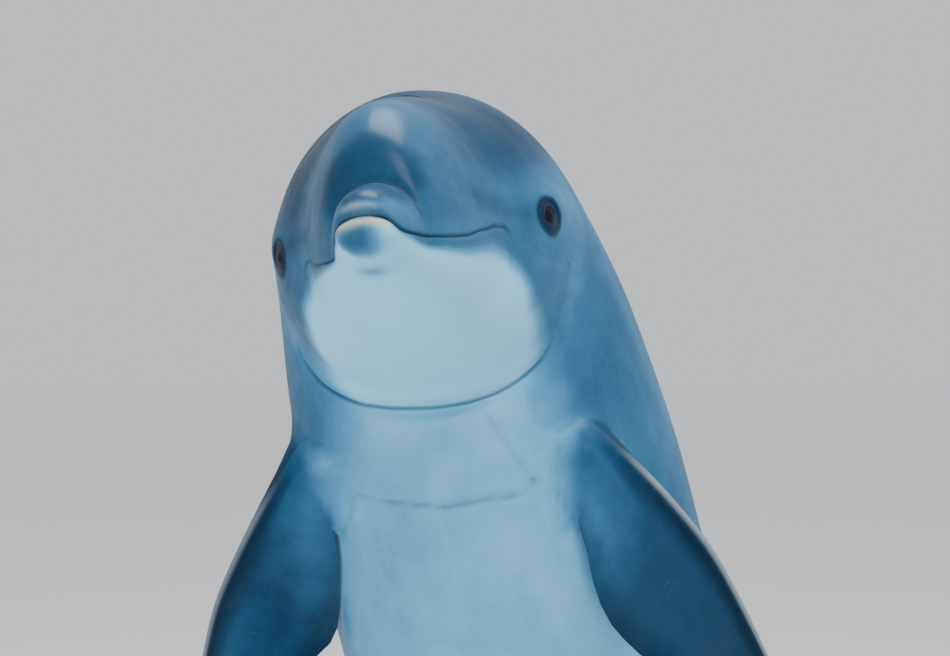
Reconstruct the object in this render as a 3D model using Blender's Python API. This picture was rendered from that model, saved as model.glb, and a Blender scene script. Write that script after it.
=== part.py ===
"""Bottlenose dolphin, life size, as a still museum model on a display stand.

Metres, +Z up. The animal faces -Y and its left side is towards +X. The shape is written for a
straight dolphin first: s runs from the tip of the beak to the notch of the flukes, x to the
animal's left and z to its back. A bent spine then carries every point to its posed place.
"""

import math

import bmesh
import bpy
import numpy as np
from mathutils import Matrix, Vector

# ---- driving dimensions -------------------------------------------------------------------
GAP = 0.0003            # clearance between neighbouring pieces
COLUMNS = 32            # points round the body
BODY_END = 2.468        # the notch between the flukes

# outline of the straight animal: (s, height or half width)
BACK = [(0, -.037), (.0025, -.0275), (.008, -.021), (.02, -.015), (.04, -.0105), (.065, -.006),
        (.082, -.001), (.089, .0075), (.096, .021), (.11, .042), (.135, .0635), (.17, .079),
        (.22, .091), (.28, .1055), (.33, .1145), (.38, .133), (.47, .171), (.60, .187), (.80, .208),
        (1.0, .216), (1.25, .208), (1.5, .180), (1.75, .142), (2.0, .102), (2.15, .076),
        (2.28, .047), (2.38, .025), (2.47, .008)]
BELLY = [(0, -.037), (.0025, -.046), (.008, -.054), (.02, -.062), (.04, -.069), (.08, -.078),
         (.13, -.092), (.20, -.112), (.28, -.132), (.38, -.156), (.50, -.186), (.65, -.210),
         (.85, -.226), (1.05, -.224), (1.25, -.208), (1.5, -.172), (1.75, -.128), (2.0, -.088),
         (2.15, -.066), (2.28, -.043), (2.38, -.024), (2.47, -.008)]
FLANK = [(0, 0), (.0025, .009), (.008, .016), (.02, .022), (.04, .0275), (.065, .0325),
         (.082, .0365), (.096, .043), (.12, .053), (.16, .065), (.20, .074), (.24, .084),
         (.27, .096), (.30, .112), (.33, .126), (.38, .1405), (.45, .155), (.60, .184),
         (.80, .202), (1.0, .206), (1.25, .194), (1.5, .158), (1.75, .108), (2.0, .065),
         (2.15, .045), (2.28, .034), (2.38, .029), (2.47, .024)]
MOUTH = [(0, -.037), (.02, -.041), (.05, -.045), (.09, -.047), (.14, -.044), (.19, -.035),
         (.23, -.026), (.245, -.0255), (.26, -.031), (.30, -.026), (.36, -.022), (.45, -.016),
         (.70, -.010), (2.5, 0)]
GAPE = 0.26             # s of the corner of the mouth
JAW_OVERSHOT = 0.006    # the lower jaw reaches past the upper one

# pose of the spine, degrees at s: nose-up bend, sideways lean and turn
PITCH = [(0, 3.2), (.36, 3.2), (.50, 40.4), (.65, 64.8), (.85, 71.7), (1.10, 71.7), (1.5, 62),
         (1.9, 44), (2.25, 27), (2.5, 22)]
LEAN = [(0, 8.6), (.335, 8.6), (.40, 6), (.52, 7.8), (.75, 9.5), (1.10, 9.5), (1.7, 3), (2.2, 0),
        (2.5, 0)]
TURN = [(0, -4.5), (.34, -4.5), (.42, -6.4), (.75, -14.9), (2.5, -14.9)]

HEAD_END, NECK_END, TRUNK_MIDDLE, TRUNK_END = 0.40, 0.56, 1.02, 1.50
HEAD_ROWS = [.002, .006, .013, .022, .035, .05, .066, .080, .087, .093, .101, .112, .128, .15,
             .18, .21, .24, .27, .30, .335, .37, HEAD_END]

EYE_S, EYE_Z = 0.325, -0.015
EYE_RADII = (0.013, 0.021, 0.0145)      # outwards, along s, up
EYE_PROUD = 0.003
EYE_TILT = 12                            # degrees, front corner lower

FIN_POINTS = 18                          # points round a fin's section
EDGE = 0.0008                            # half the thickness of a fin's rear edge

BASE_TOP = 0.034
BASE_SIZE = (0.64, 1.00)
BASE_CORNER = 0.10
BASE_LEAD = 0.18                         # the plate's middle lies this far ahead of the rods'
FLUKE_CLEARANCE = 0.045                  # from the base to the lowest point of the animal
ROD_RADIUS = 0.015
ROD_STATIONS = (("front", 1.62), ("rear", 2.04))
SADDLE_RADIUS, SADDLE_DEPTH = 0.042, 0.012


# ---- curves -------------------------------------------------------------------------------
def curve(knots, s):
    """Smooth curve through the knots that never overshoots them."""
    xs, ys = np.array(knots, float).T
    step = np.diff(xs)
    slope = np.diff(ys) / step
    tangent = np.zeros(len(xs))
    tangent[0], tangent[-1] = slope[0], slope[-1]
    for i in range(1, len(xs) - 1):
        if slope[i - 1] * slope[i] > 0:
            w1, w2 = 2 * step[i] + step[i - 1], step[i] + 2 * step[i - 1]
            tangent[i] = (w1 + w2) / (w1 / slope[i - 1] + w2 / slope[i])
    s = min(max(s, xs[0]), xs[-1])
    i = int(min(max(np.searchsorted(xs, s) - 1, 0), len(xs) - 2))
    t = (s - xs[i]) / step[i]
    return float((2 * t**3 - 3 * t**2 + 1) * ys[i] + (t**3 - 2 * t**2 + t) * step[i] * tangent[i]
                 + (-2 * t**3 + 3 * t**2) * ys[i + 1] + (t**3 - t**2) * step[i] * tangent[i + 1])


def ramp(start, end, value):
    """0 before start, 1 after end, smooth between."""
    t = min(max((value - start) / (end - start), 0), 1)
    return t * t * (3 - 2 * t)


def skin(s, angle):
    """Point of the straight animal's skin; angle 0 is its left side and 90 degrees its back."""
    c, sn = math.cos(angle), math.sin(angle)
    keel = 0.5 * ramp(1.5, 2.15, s)
    if sn >= 0:
        melon = 0.16 * ramp(.09, .14, s) * (1 - ramp(.22, .34, s))
        nape = 0.09 * ramp(.22, .36, s) * (1 - ramp(.45, .65, s))
        power = 2.05 - melon - nape - keel
        reach = curve(BACK, s) - curve(MOUTH, s)
    else:
        power = 2.05 + 0.2 * ramp(.02, .10, s) * (1 - ramp(.30, .45, s)) - keel
        reach = curve(MOUTH, s) - curve(BELLY, s)
    x = math.copysign(abs(c) ** (2 / power), c) * curve(FLANK, s)
    z = curve(MOUTH, s) + math.copysign(abs(sn) ** (2 / power) * reach, sn)
    lower = ramp(0, 0.7, -sn)
    forward = JAW_OVERSHOT * lower * ramp(0, .02, s) * (1 - ramp(.02, .06, s))
    return Vector((x, s - forward, z))


def grown(s, angle, grow):
    """The same point moved out of the section by grow."""
    along = skin(s, angle + .02) - skin(s, angle - .02)
    return skin(s, angle) + Vector((along.z, 0, -along.x)).normalized() * grow


# ---- spine --------------------------------------------------------------------------------
SPINE_STEP = 0.01


def turned(s):
    """Rotation of the body's cross section at s."""
    return (Matrix.Rotation(math.radians(curve(TURN, s)), 3, "Z")
            @ Matrix.Rotation(math.radians(-curve(LEAN, s)), 3, "Y")
            @ Matrix.Rotation(math.radians(-curve(PITCH, s)), 3, "X"))


def laid_spine():
    """Places of the spine at even steps, by adding up its direction."""
    places = [Vector((0, 0, 0))]
    for i in range(int(2.6 / SPINE_STEP)):
        places.append(places[-1] + turned((i + 0.5) * SPINE_STEP).col[1] * SPINE_STEP)
    return places


SPINE = laid_spine()


def place(point, s=None):
    """Carry a point of the straight animal to the posed one; a given s holds the section."""
    x, along, z = point
    s = along if s is None else s
    inside = min(max(s, 0), 2.59)
    i = int(inside / SPINE_STEP)
    t = inside / SPINE_STEP - i
    frame = turned(inside)
    centre = SPINE[i].lerp(SPINE[i + 1], t)
    return centre + frame @ Vector((x, along - inside, z))


# ---- meshes -------------------------------------------------------------------------------
def new_object(name, mesh_bm, cutter=False):
    mesh_bm.normal_update()
    bmesh.ops.recalc_face_normals(mesh_bm, faces=mesh_bm.faces)
    mesh = bpy.data.meshes.new(name)
    mesh_bm.to_mesh(mesh)
    mesh_bm.free()
    ob = bpy.data.objects.new(name, mesh)
    bpy.context.scene.collection.objects.link(ob)
    if cutter:
        ob.hide_render = True
        ob.display_type = "WIRE"
    return ob


def loft(name, rings, tip=None, cutter=False):
    """Closed solid through rings of points; tip is a single point that closes the first end."""
    bm = bmesh.new()
    loops = [[bm.verts.new(p) for p in ring] for ring in rings]
    count = len(loops[0])
    for a, b in zip(loops, loops[1:]):
        for i in range(count):
            j = (i + 1) % count
            # always split the same way, so that a piece and its cutter have the same facets
            bm.faces.new((a[i], a[j], b[j]))
            bm.faces.new((a[i], b[j], b[i]))
    if tip is None:
        bm.faces.new(reversed(loops[0]))
    else:
        point = bm.verts.new(tip)
        for i in range(count):
            bm.faces.new((point, loops[0][(i + 1) % count], loops[0][i]))
    bm.faces.new(loops[-1])
    return new_object(name, bm, cutter)


def cut(ob, cutter, operation="DIFFERENCE"):
    modifier = ob.modifiers.new(cutter.name, "BOOLEAN")
    modifier.operation = operation
    modifier.solver = "EXACT"
    modifier.object = cutter


def ring(s, grow=0.0, further=0.0):
    return [place(grown(s, 2 * math.pi * i / COLUMNS, grow) + Vector((0, further, 0)))
            for i in range(COLUMNS)]


def stations(start, end, count):
    return [start + (end - start) * i / count for i in range(count + 1)]


# ---- the body -----------------------------------------------------------------------------
def body_rows():
    """Rows of each length of the body, head first."""
    return {
        "head": HEAD_ROWS,
        "neck": stations(HEAD_END, NECK_END, 5),
        "trunk_front": stations(NECK_END, TRUNK_MIDDLE, 9),
        "trunk_rear": stations(TRUNK_MIDDLE, TRUNK_END, 8),
        "tail_stock": stations(TRUNK_END, BODY_END, 14),
    }


def make_body():
    parts = {}
    for name, rows in body_rows().items():
        tip = place(skin(0, 0)) if name == "head" else None
        start = 0 if name == "head" else GAP
        rings = [ring(rows[0] + start)] + [ring(s) for s in rows[1:]]
        parts[name] = loft(name, rings, tip)
    return parts


def make_body_cutter():
    """The whole body in one, a clearance larger, to part the fins and the stand from it."""
    rows = []
    for name, stretch in body_rows().items():
        rows += stretch if name == "head" else stretch[1:]
    rings = [ring(s, GAP) for s in rows]
    rings.append(ring(BODY_END, GAP, GAP))
    return loft("cut_body", rings, place(Vector((0, -GAP, curve(MOUTH, 0)))), cutter=True)


def jaw_block(name, raised, end):
    """A block under the line of the mouth, wider and deeper than the jaw."""
    rings = []
    for s in stations(-.03, .09, 6) + stations(.10, .23, 7)[:-1] + [.23, .245, end]:
        top = curve(MOUTH, s) + raised
        corners = ((-.14, top), (.14, top), (.14, -.24), (-.14, -.24))
        rings.append([place(Vector((x, s, z))) for x, z in corners])
    return loft(name, rings, cutter=True)


def part_jaw(head):
    """The lower jaw is the head's own shape under the mouth, parted with a thin cut."""
    jaw = bpy.data.objects.new("lower_jaw", head.data.copy())
    bpy.context.scene.collection.objects.link(jaw)
    cut(jaw, jaw_block("cut_jaw_keep", -GAP / 2, GAPE), "INTERSECT")
    cut(head, jaw_block("cut_jaw_away", GAP / 2, GAPE + GAP))
    return jaw


# ---- eyes ---------------------------------------------------------------------------------
def eye_seat(side):
    """Matrix of the eye: its columns point outwards, along the body and up."""
    angle = 0.0
    while skin(EYE_S, angle).z < EYE_Z:
        angle += 0.002
    here = skin(EYE_S, angle)
    along = (skin(EYE_S + .01, angle) - here).normalized()
    up = (skin(EYE_S, angle + .05) - here).normalized()
    out = along.cross(up).normalized()
    if out.x < 0:
        out = -out
    centre = here + out * (EYE_PROUD - EYE_RADII[0])
    seat = Matrix((out, along, out.cross(along))).transposed()
    seat = seat @ Matrix.Rotation(math.radians(EYE_TILT), 3, "X")
    mirror = Matrix.Diagonal((side, 1, 1))
    return place(mirror @ centre), turned(EYE_S) @ mirror @ seat


def eye_ball(name, side, grow=0.0, cutter=False):
    centre, seat = eye_seat(side)
    bm = bmesh.new()
    bmesh.ops.create_uvsphere(bm, u_segments=18, v_segments=9, radius=1)
    for v in bm.verts:
        # the ball's pole looks outwards
        out, along, up = v.co.z, v.co.x, v.co.y
        radii = [r + grow for r in EYE_RADII]
        v.co = centre + seat @ Vector((out * radii[0], along * radii[1], up * radii[2]))
    return new_object(name, bm, cutter)


# ---- fins ---------------------------------------------------------------------------------
def section(front, rear, thickness):
    """Points (along, height) round a streamlined section."""
    points = []
    for i in range(FIN_POINTS):
        turn = 2 * math.pi * i / FIN_POINTS
        c = (1 - math.cos(turn)) / 2
        half = thickness * 5 * (.2969 * math.sqrt(c) - .126 * c - .3516 * c**2
                                + .2843 * c**3 - .1015 * c**4)
        half = max(half, EDGE * min(1, (1 - c) * 40))
        points.append((front + (rear - front) * c, math.copysign(half, math.sin(turn))))
    return points


def spans(start, end, count):
    """Stations along a fin that crowd towards its tip."""
    return [start + (end - start) * math.sin(i / count * math.pi / 2) for i in range(count + 1)]


# each outline: (distance out from the root, place along the animal)
FLIPPER_SPAN = 0.372
FLIPPER_FRONT = [(0, 0), (.04, -.002), (.08, .002), (.16, .020), (.24, .066), (.30, .114),
                 (.345, .163), (FLIPPER_SPAN, .204)]
FLIPPER_REAR = [(0, .070), (.03, .076), (.055, .094), (.08, .134), (.10, .166), (.12, .188),
                (.15, .190), (.18, .187), (.24, .181), (.30, .190), (.345, .204),
                (FLIPPER_SPAN, .214)]
FLIPPER_DEPTH = [(0, .034), (.06, .028), (.16, .020), (.28, .012), (FLIPPER_SPAN, .005)]
FLIPPER_BEND = 0.011
# each flipper: s of the front of its root and the angle round the body; sweep, droop and twist in
# degrees; near the armpit its rear edge curls to the belly by cup and moves back by shift
FLIPPERS = {
    "left": dict(side=1, start=.622, angle=-43, sweep=24, droop=42, twist=-11, cup=.032, shift=0),
    "right": dict(side=-1, start=.615, angle=-34, sweep=25, droop=53, twist=8, cup=.056,
                  shift=-.048),
}

DORSAL_START, DORSAL_SPAN = 1.09, 0.235
DORSAL_FRONT = [(-.05, -.03), (0, 0), (.03, .040), (.08, .098), (.14, .168), (.19, .236),
                (.22, .292), (DORSAL_SPAN, .338)]
DORSAL_REAR = [(-.05, .375), (0, .350), (.03, .322), (.08, .300), (.14, .304), (.19, .322),
               (.22, .338), (DORSAL_SPAN, .350)]
DORSAL_DEPTH = [(-.05, .052), (0, .040), (.03, .031), (.12, .020), (.20, .010),
                (DORSAL_SPAN, .005)]

FLUKE_START, FLUKE_SPAN = 2.235, 0.312
FLUKE_FRONT = [(0, -.035), (.04, .010), (.10, .046), (.16, .088), (.22, .140), (.27, .194),
               (.30, .238), (FLUKE_SPAN, .264)]
FLUKE_REAR = [(0, .234), (.04, .250), (.09, .256), (.15, .250), (.22, .249), (.27, .258),
              (.30, .269), (FLUKE_SPAN, .276)]
FLUKE_DEPTH = [(0, .034), (.06, .026), (.16, .016), (.26, .009), (FLUKE_SPAN, .005)]


def make_flipper(side_name, side, start, angle, sweep, droop, twist, cup, shift, body_cutter):
    mirror = Matrix.Diagonal((side, 1, 1))
    root = place(mirror @ skin(start, math.radians(angle)))
    aim = (turned(start + 0.05) @ mirror
           @ Matrix.Rotation(math.radians(droop), 3, "Y")
           @ Matrix.Rotation(math.radians(sweep), 3, "Z")
           @ Matrix.Rotation(math.radians(twist), 3, "X"))
    rings = []
    for out in [-.045, -.02] + spans(0, FLIPPER_SPAN, 14):
        flare = 1 - ramp(-.02, .05, out)
        front = curve(FLIPPER_FRONT, out) - .008 * flare
        rear = (curve(FLIPPER_REAR, out) + .012 * flare
                + shift * (1 - ramp(.088, .118, out)))
        depth = curve(FLIPPER_DEPTH, out) * (1 + .5 * flare)
        bend = FLIPPER_BEND * (max(out, 0) / FLIPPER_SPAN) ** 2
        curl = cup * (1 - ramp(.09, .125, out))
        rings.append([root + aim @ Vector(
            (out, a, h - bend - curl * ((a - front) / (rear - front)) ** 2))
            for a, h in section(front, rear, depth)])
    flipper = loft("flipper_" + side_name, rings)
    cut(flipper, body_cutter)
    return flipper


def make_dorsal_fin(body_cutter):
    back = curve(BACK, DORSAL_START + .17)
    rings = []
    for out in [-.045, -.02] + spans(0, DORSAL_SPAN, 10):
        front, rear = curve(DORSAL_FRONT, out), curve(DORSAL_REAR, out)
        rings.append([place(Vector((h, DORSAL_START + a, back + out)))
                      for a, h in section(front, rear, curve(DORSAL_DEPTH, out))])
    fin = loft("dorsal_fin", rings)
    cut(fin, body_cutter)
    return fin


def make_fluke(side_name, side, body_cutter):
    rings = []
    for out in [.004] + spans(.02, FLUKE_SPAN, 11):
        front, rear = curve(FLUKE_FRONT, out), curve(FLUKE_REAR, out)
        rings.append([place(Vector((side * out, FLUKE_START + a, h)))
                      for a, h in section(front, rear, curve(FLUKE_DEPTH, out))])
    fluke = loft("fluke_" + side_name, rings)
    cut(fluke, body_cutter)
    return fluke


# ---- display stand ------------------------------------------------------------------------
def turned_piece(name, profile, at, segments=20):
    """Solid of revolution about a vertical line; the profile (radius, height) is a closed loop."""
    bm = bmesh.new()
    loops = []
    for i in range(segments):
        a = 2 * math.pi * i / segments
        loops.append([bm.verts.new(Vector((at.x + r * math.cos(a), at.y + r * math.sin(a), h)))
                      for r, h in profile])
    count = len(profile)
    for i in range(segments):
        here, there = loops[i], loops[(i + 1) % segments]
        for j in range(count):
            k = (j + 1) % count
            bm.faces.new((here[j], here[k], there[k], there[j]))
    return new_object(name, bm)


def round_bar(name, start, end, radius, segments=20, cutter=False):
    axis = (end - start).normalized()
    side = axis.orthogonal().normalized()
    other = axis.cross(side)
    rings = [[p + side * radius * math.cos(2 * math.pi * i / segments)
              + other * radius * math.sin(2 * math.pi * i / segments) for i in range(segments)]
             for p in (start, end)]
    return loft(name, rings, cutter=cutter)


def belly_seat(s):
    """Lowest point of the section at s and the skin's outward direction there."""
    under = max(range(COLUMNS * 4), key=lambda i: -place(skin(s, math.pi * i / (2 * COLUMNS))).z)
    angle = math.pi * under / (2 * COLUMNS)
    here = place(skin(s, angle))
    along = place(skin(s + .01, angle)) - place(skin(s - .01, angle))
    round_about = place(skin(s, angle + .03)) - place(skin(s, angle - .03))
    out = along.cross(round_about).normalized()
    return here, out if out.z < 0 else -out


def make_base(centre, floor):
    """Flat plate with round corners and a chamfered upper edge, long side along the tail."""
    turn = Matrix.Rotation(math.radians(curve(TURN, 2.0)), 3, "Z")
    rings = []
    for height, inset in ((0, .002), (.002, 0), (BASE_TOP - .004, 0), (BASE_TOP, .004)):
        outline = []
        for corner, (sx, sy) in enumerate(((1, 1), (-1, 1), (-1, -1), (1, -1))):
            cx = sx * (BASE_SIZE[0] / 2 - BASE_CORNER)
            cy = sy * (BASE_SIZE[1] / 2 - BASE_CORNER)
            for k in range(7):
                a = math.radians(90 * corner + 15 * k)
                r = BASE_CORNER - inset
                p = turn @ Vector((cx + r * math.cos(a), cy + r * math.sin(a), 0))
                outline.append(Vector((centre.x + p.x, centre.y + p.y, floor + height)))
        rings.append(outline)
    return loft("stand_base", rings)


def make_stand(floor, body_cutter):
    parts = []
    seats = [(name, *belly_seat(s)) for name, s in ROD_STATIONS]
    middle = (seats[0][1] + seats[1][1]) / 2
    along = turned(2.0).col[1]
    centre = middle - Vector((along.x, along.y, 0)).normalized() * BASE_LEAD
    parts.append(make_base(centre, floor))
    top = floor + BASE_TOP + GAP
    for name, seat, out in seats:
        bore = ROD_RADIUS + GAP
        foot = Vector((seat.x, seat.y, top))
        socket = turned_piece(f"stand_socket_{name}", [
            (bore, top), (.052, top), (.052, top + .007), (.050, top + .009), (.030, top + .009),
            (.026, top + .013), (.026, top + .052), (.024, top + .055), (bore, top + .055)], foot)
        # the saddle's far side lies inside the body, where the body's own cutter ends it
        saddle = round_bar(f"stand_saddle_{name}", seat + out * SADDLE_DEPTH, seat - out * .03,
                           SADDLE_RADIUS)
        cut(saddle, body_cutter)
        room = round_bar(f"cut_saddle_{name}", seat + out * (SADDLE_DEPTH + GAP),
                         seat - out * .06, SADDLE_RADIUS + GAP, cutter=True)
        rod = round_bar(f"stand_rod_{name}", foot, Vector((seat.x, seat.y, seat.z + .012)),
                        ROD_RADIUS)
        cut(rod, room)
        parts += [socket, saddle, rod]
    return parts


# ---- finishes -----------------------------------------------------------------------------
def finish(ob, name, colour, roughness, metallic=0.0):
    material = bpy.data.materials.get(name) or bpy.data.materials.new(name)
    material.use_nodes = True
    shader = material.node_tree.nodes["Principled BSDF"]
    shader.inputs["Base Color"].default_value = (*colour, 1)
    shader.inputs["Roughness"].default_value = roughness
    shader.inputs["Metallic"].default_value = metallic
    ob.data.materials.clear()
    ob.data.materials.append(material)
    ob.data.shade_smooth()
    ob.data.set_sharp_from_angle(angle=math.radians(35))


def finish_all(objects):
    for ob in objects:
        if ob.name.startswith("eye"):
            finish(ob, "dark_eye", (.02, .017, .015), .12)
        elif ob.name.startswith("stand_base"):
            finish(ob, "stand_lacquer", (.74, .75, .75), .38)
        elif ob.name.startswith("stand_saddle"):
            finish(ob, "stand_rubber", (.03, .03, .032), .6)
        elif ob.name.startswith("stand"):
            finish(ob, "stand_steel", (.62, .63, .64), .3, 1)
        elif ob.name.startswith(("flipper", "dorsal", "fluke")):
            finish(ob, "fin_skin", (.10, .13, .16), .32)
        elif ob.name == "lower_jaw":
            finish(ob, "throat_skin", (.62, .66, .68), .34)
        else:
            finish(ob, "body_skin", (.27, .32, .36), .34)


# ---- assembly -----------------------------------------------------------------------------
def lowest(objects):
    return min(v.co.z for ob in objects for v in ob.data.vertices)


def main():
    for ob in list(bpy.data.objects):
        bpy.data.objects.remove(ob, do_unlink=True)

    body_cutter = make_body_cutter()
    body = make_body()
    parts = list(body.values())
    parts.append(part_jaw(body["head"]))
    for side_name, side in (("left", 1), ("right", -1)):
        parts.append(eye_ball(f"eye_{side_name}", side))
        cut(body["head"], eye_ball(f"cut_eye_{side_name}", side, GAP, cutter=True))
        parts.append(make_fluke(side_name, side, body_cutter))
    for side_name, shape in FLIPPERS.items():
        parts.append(make_flipper(side_name, **shape, body_cutter=body_cutter))
    parts.append(make_dorsal_fin(body_cutter))

    floor = lowest(parts) - FLUKE_CLEARANCE - BASE_TOP
    parts += make_stand(floor, body_cutter)
    finish_all(parts)

    # the model stands on z = 0 with the middle of its box at the origin
    ground = bpy.data.objects.new("ground_middle", None)
    bpy.context.scene.collection.objects.link(ground)
    for ob in bpy.data.objects:
        if ob is not ground:
            ob.parent = ground
    bpy.context.view_layer.update()
    seen = bpy.context.evaluated_depsgraph_get()
    corners = []
    for ob in parts:
        corners += [v.co.copy() for v in ob.evaluated_get(seen).data.vertices]
    middle = [(min(p[i] for p in corners) + max(p[i] for p in corners)) / 2 for i in (0, 1)]
    ground.location = (-middle[0], -middle[1], -floor)
    bpy.context.view_layer.update()


main()
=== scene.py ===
import math

import bmesh
import bpy
import numpy as np
from mathutils import Matrix, Vector
from mathutils.bvhtree import BVHTree


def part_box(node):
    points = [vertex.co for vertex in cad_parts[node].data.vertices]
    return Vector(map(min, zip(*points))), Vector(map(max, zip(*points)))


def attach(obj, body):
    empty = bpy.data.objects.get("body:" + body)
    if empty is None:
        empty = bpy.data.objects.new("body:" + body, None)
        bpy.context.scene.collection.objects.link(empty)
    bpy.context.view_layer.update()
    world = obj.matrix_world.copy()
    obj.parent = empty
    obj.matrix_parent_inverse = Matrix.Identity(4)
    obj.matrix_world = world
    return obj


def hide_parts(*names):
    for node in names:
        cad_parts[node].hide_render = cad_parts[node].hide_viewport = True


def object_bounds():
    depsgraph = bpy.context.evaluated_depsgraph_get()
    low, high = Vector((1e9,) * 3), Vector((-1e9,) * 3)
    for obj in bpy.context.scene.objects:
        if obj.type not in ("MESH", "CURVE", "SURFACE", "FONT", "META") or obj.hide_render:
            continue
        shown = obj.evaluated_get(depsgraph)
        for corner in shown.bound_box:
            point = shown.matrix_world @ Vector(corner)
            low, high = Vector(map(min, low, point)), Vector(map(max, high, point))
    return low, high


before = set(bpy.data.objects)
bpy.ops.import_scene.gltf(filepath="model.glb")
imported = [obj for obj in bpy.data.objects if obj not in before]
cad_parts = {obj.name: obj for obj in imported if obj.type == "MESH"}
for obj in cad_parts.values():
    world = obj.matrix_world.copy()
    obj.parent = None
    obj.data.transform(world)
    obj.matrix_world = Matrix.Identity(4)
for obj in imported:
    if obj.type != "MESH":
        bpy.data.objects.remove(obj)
cadBox = [list(corner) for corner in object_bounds()]

# The straight animal, as the solids have it: s runs from the beak's tip to the notch of the
# flukes, x to the animal's left and z to its back. Angle 0 is the left flank, 90 degrees the back.
body = {
    "end": 2.454, "endTaper": .55,
    "back": [(0, -.037), (.0025, -.0275), (.008, -.021), (.02, -.015), (.04, -.0105),
             (.065, -.006), (.082, -.001), (.089, .0075), (.096, .021), (.11, .042),
             (.135, .0635), (.17, .079), (.22, .091), (.28, .1055), (.33, .1145), (.38, .133),
             (.47, .171), (.6, .187), (.8, .208), (1.0, .216), (1.25, .208), (1.5, .18),
             (1.75, .142), (2.0, .102), (2.15, .076), (2.28, .047), (2.38, .025), (2.47, .008)],
    "belly": [(0, -.037), (.0025, -.046), (.008, -.054), (.02, -.062), (.04, -.069),
              (.08, -.078), (.13, -.092), (.2, -.112), (.28, -.132), (.38, -.156), (.5, -.186),
              (.65, -.21), (.85, -.226), (1.05, -.224), (1.25, -.208), (1.5, -.172),
              (1.75, -.128), (2.0, -.088), (2.15, -.066), (2.28, -.043), (2.38, -.024),
              (2.47, -.008)],
    "flank": [(0, 0), (.0025, .009), (.008, .016), (.02, .022), (.04, .0275), (.065, .0325),
              (.082, .0365), (.096, .043), (.12, .053), (.16, .065), (.2, .074), (.24, .084),
              (.27, .096), (.3, .112), (.33, .126), (.38, .1405), (.45, .155), (.6, .184),
              (.8, .202), (1.0, .206), (1.25, .194), (1.5, .158), (1.75, .108), (2.0, .065),
              (2.15, .045), (2.28, .034), (2.38, .029), (2.47, .024)],
    "mouth": [(0, -.037), (.02, -.041), (.05, -.045), (.09, -.047), (.14, -.044), (.19, -.035),
              (.23, -.026), (.245, -.0255), (.26, -.031), (.3, -.026), (.36, -.022),
              (.45, -.016), (.7, -.01), (2.5, 0)],
    "tip": .0025,              # ahead of this the beak is rounded off
    "jawOvershot": .006,
    "pitch": [(0, 3.2), (.36, 3.2), (.5, 40.4), (.65, 64.8), (.85, 71.7), (1.1, 71.7),
              (1.5, 62), (1.9, 44), (2.25, 27), (2.5, 22)],
    "lean": [(0, 8.6), (.335, 8.6), (.4, 6), (.52, 7.8), (.75, 9.5), (1.1, 9.5), (1.7, 3),
             (2.2, 0), (2.5, 0)],
    "turn": [(0, -4.5), (.34, -4.5), (.42, -6.4), (.75, -14.9), (2.5, -14.9)],
    "spineStep": .01, "spineSteps": 260,
    # the grid of the skin: columns round it, how they crowd, rows inside the first at the tip
    "columns": 160, "mouthPull": .7, "chestPull": .5, "throatWarp": .055, "tipRows": 6,
    # distance between rows of the skin at s: close at the beak and where it has creases
    "rowStep": [(0, .0006), (.004, .0012), (.02, .0025), (.05, .003), (.078, .0016),
                (.095, .0018), (.13, .0036), (.3, .004), (.47, .004), (.6, .0055),
                (.8, .0055), (1.0, .01), (2.1, .01), (2.35, .007), (2.45, .002),
                (2.468, .0012)],
    "flesh": ["head", "lower_jaw", "neck", "trunk_front", "trunk_rear", "tail_stock",
              "dorsal_fin", "flipper_left", "flipper_right", "fluke_left", "fluke_right"],
}


def hermite(t, start, leaving, end, arriving):
    # from start to end as t goes from 0 to 1, with the direction of each end
    return ((2 * t**3 - 3 * t**2 + 1) * start + (t**3 - 2 * t**2 + t) * leaving
            + (3 * t**2 - 2 * t**3) * end + (t**3 - t**2) * arriving)


def curve(knots, s):
    # a smooth curve through the knots that never overshoots them
    xs, ys = np.array(knots, float).T
    step = np.diff(xs)
    slope = np.diff(ys) / step
    tangent = np.zeros(len(xs))
    tangent[0], tangent[-1] = slope[0], slope[-1]
    before, after = slope[:-1], slope[1:]
    w1, w2 = 2 * step[1:] + step[:-1], step[1:] + 2 * step[:-1]
    oneWay = before * after > 0
    tangent[1:-1][oneWay] = ((w1 + w2)[oneWay]
                             / (w1[oneWay] / before[oneWay] + w2[oneWay] / after[oneWay]))
    s = np.clip(s, xs[0], xs[-1])
    i = np.clip(np.searchsorted(xs, s) - 1, 0, len(xs) - 2)
    return hermite((s - xs[i]) / step[i], ys[i], step[i] * tangent[i],
                   ys[i + 1], step[i] * tangent[i + 1])


def ramp(start, end, value):
    # 0 before start, 1 after end, smooth between
    t = np.clip((value - start) / (end - start), 0, 1)
    return t * t * (3 - 2 * t)


def bell(value, width):
    return np.exp(-(value / width) ** 2)


def hump(start, full, over, end, value):
    # rises from 0 to 1 between the first two and falls again between the last two
    return ramp(start, full, value) * (1 - ramp(over, end, value))


def profile(rolls, distance):
    # rolls and grooves beside a line, each with its height, its place and its half width
    return sum(height * bell(distance - away, width) for height, away, width in rolls)


def unit(v):
    return v / np.maximum(np.linalg.norm(v, axis=-1, keepdims=True), 1e-12)


def roundness(s, sn):
    # 2 is an ellipse, more is boxier; sn is above 0 on the upper half
    keel = .5 * ramp(1.5, 2.15, s)
    melon = .16 * hump(.09, .14, .22, .34, s)
    nape = .09 * hump(.22, .36, .45, .65, s)
    jaw = .2 * hump(.02, .1, .3, .45, s)
    return 2.05 - keel + np.where(sn >= 0, -melon - nape, jaw)


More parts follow.
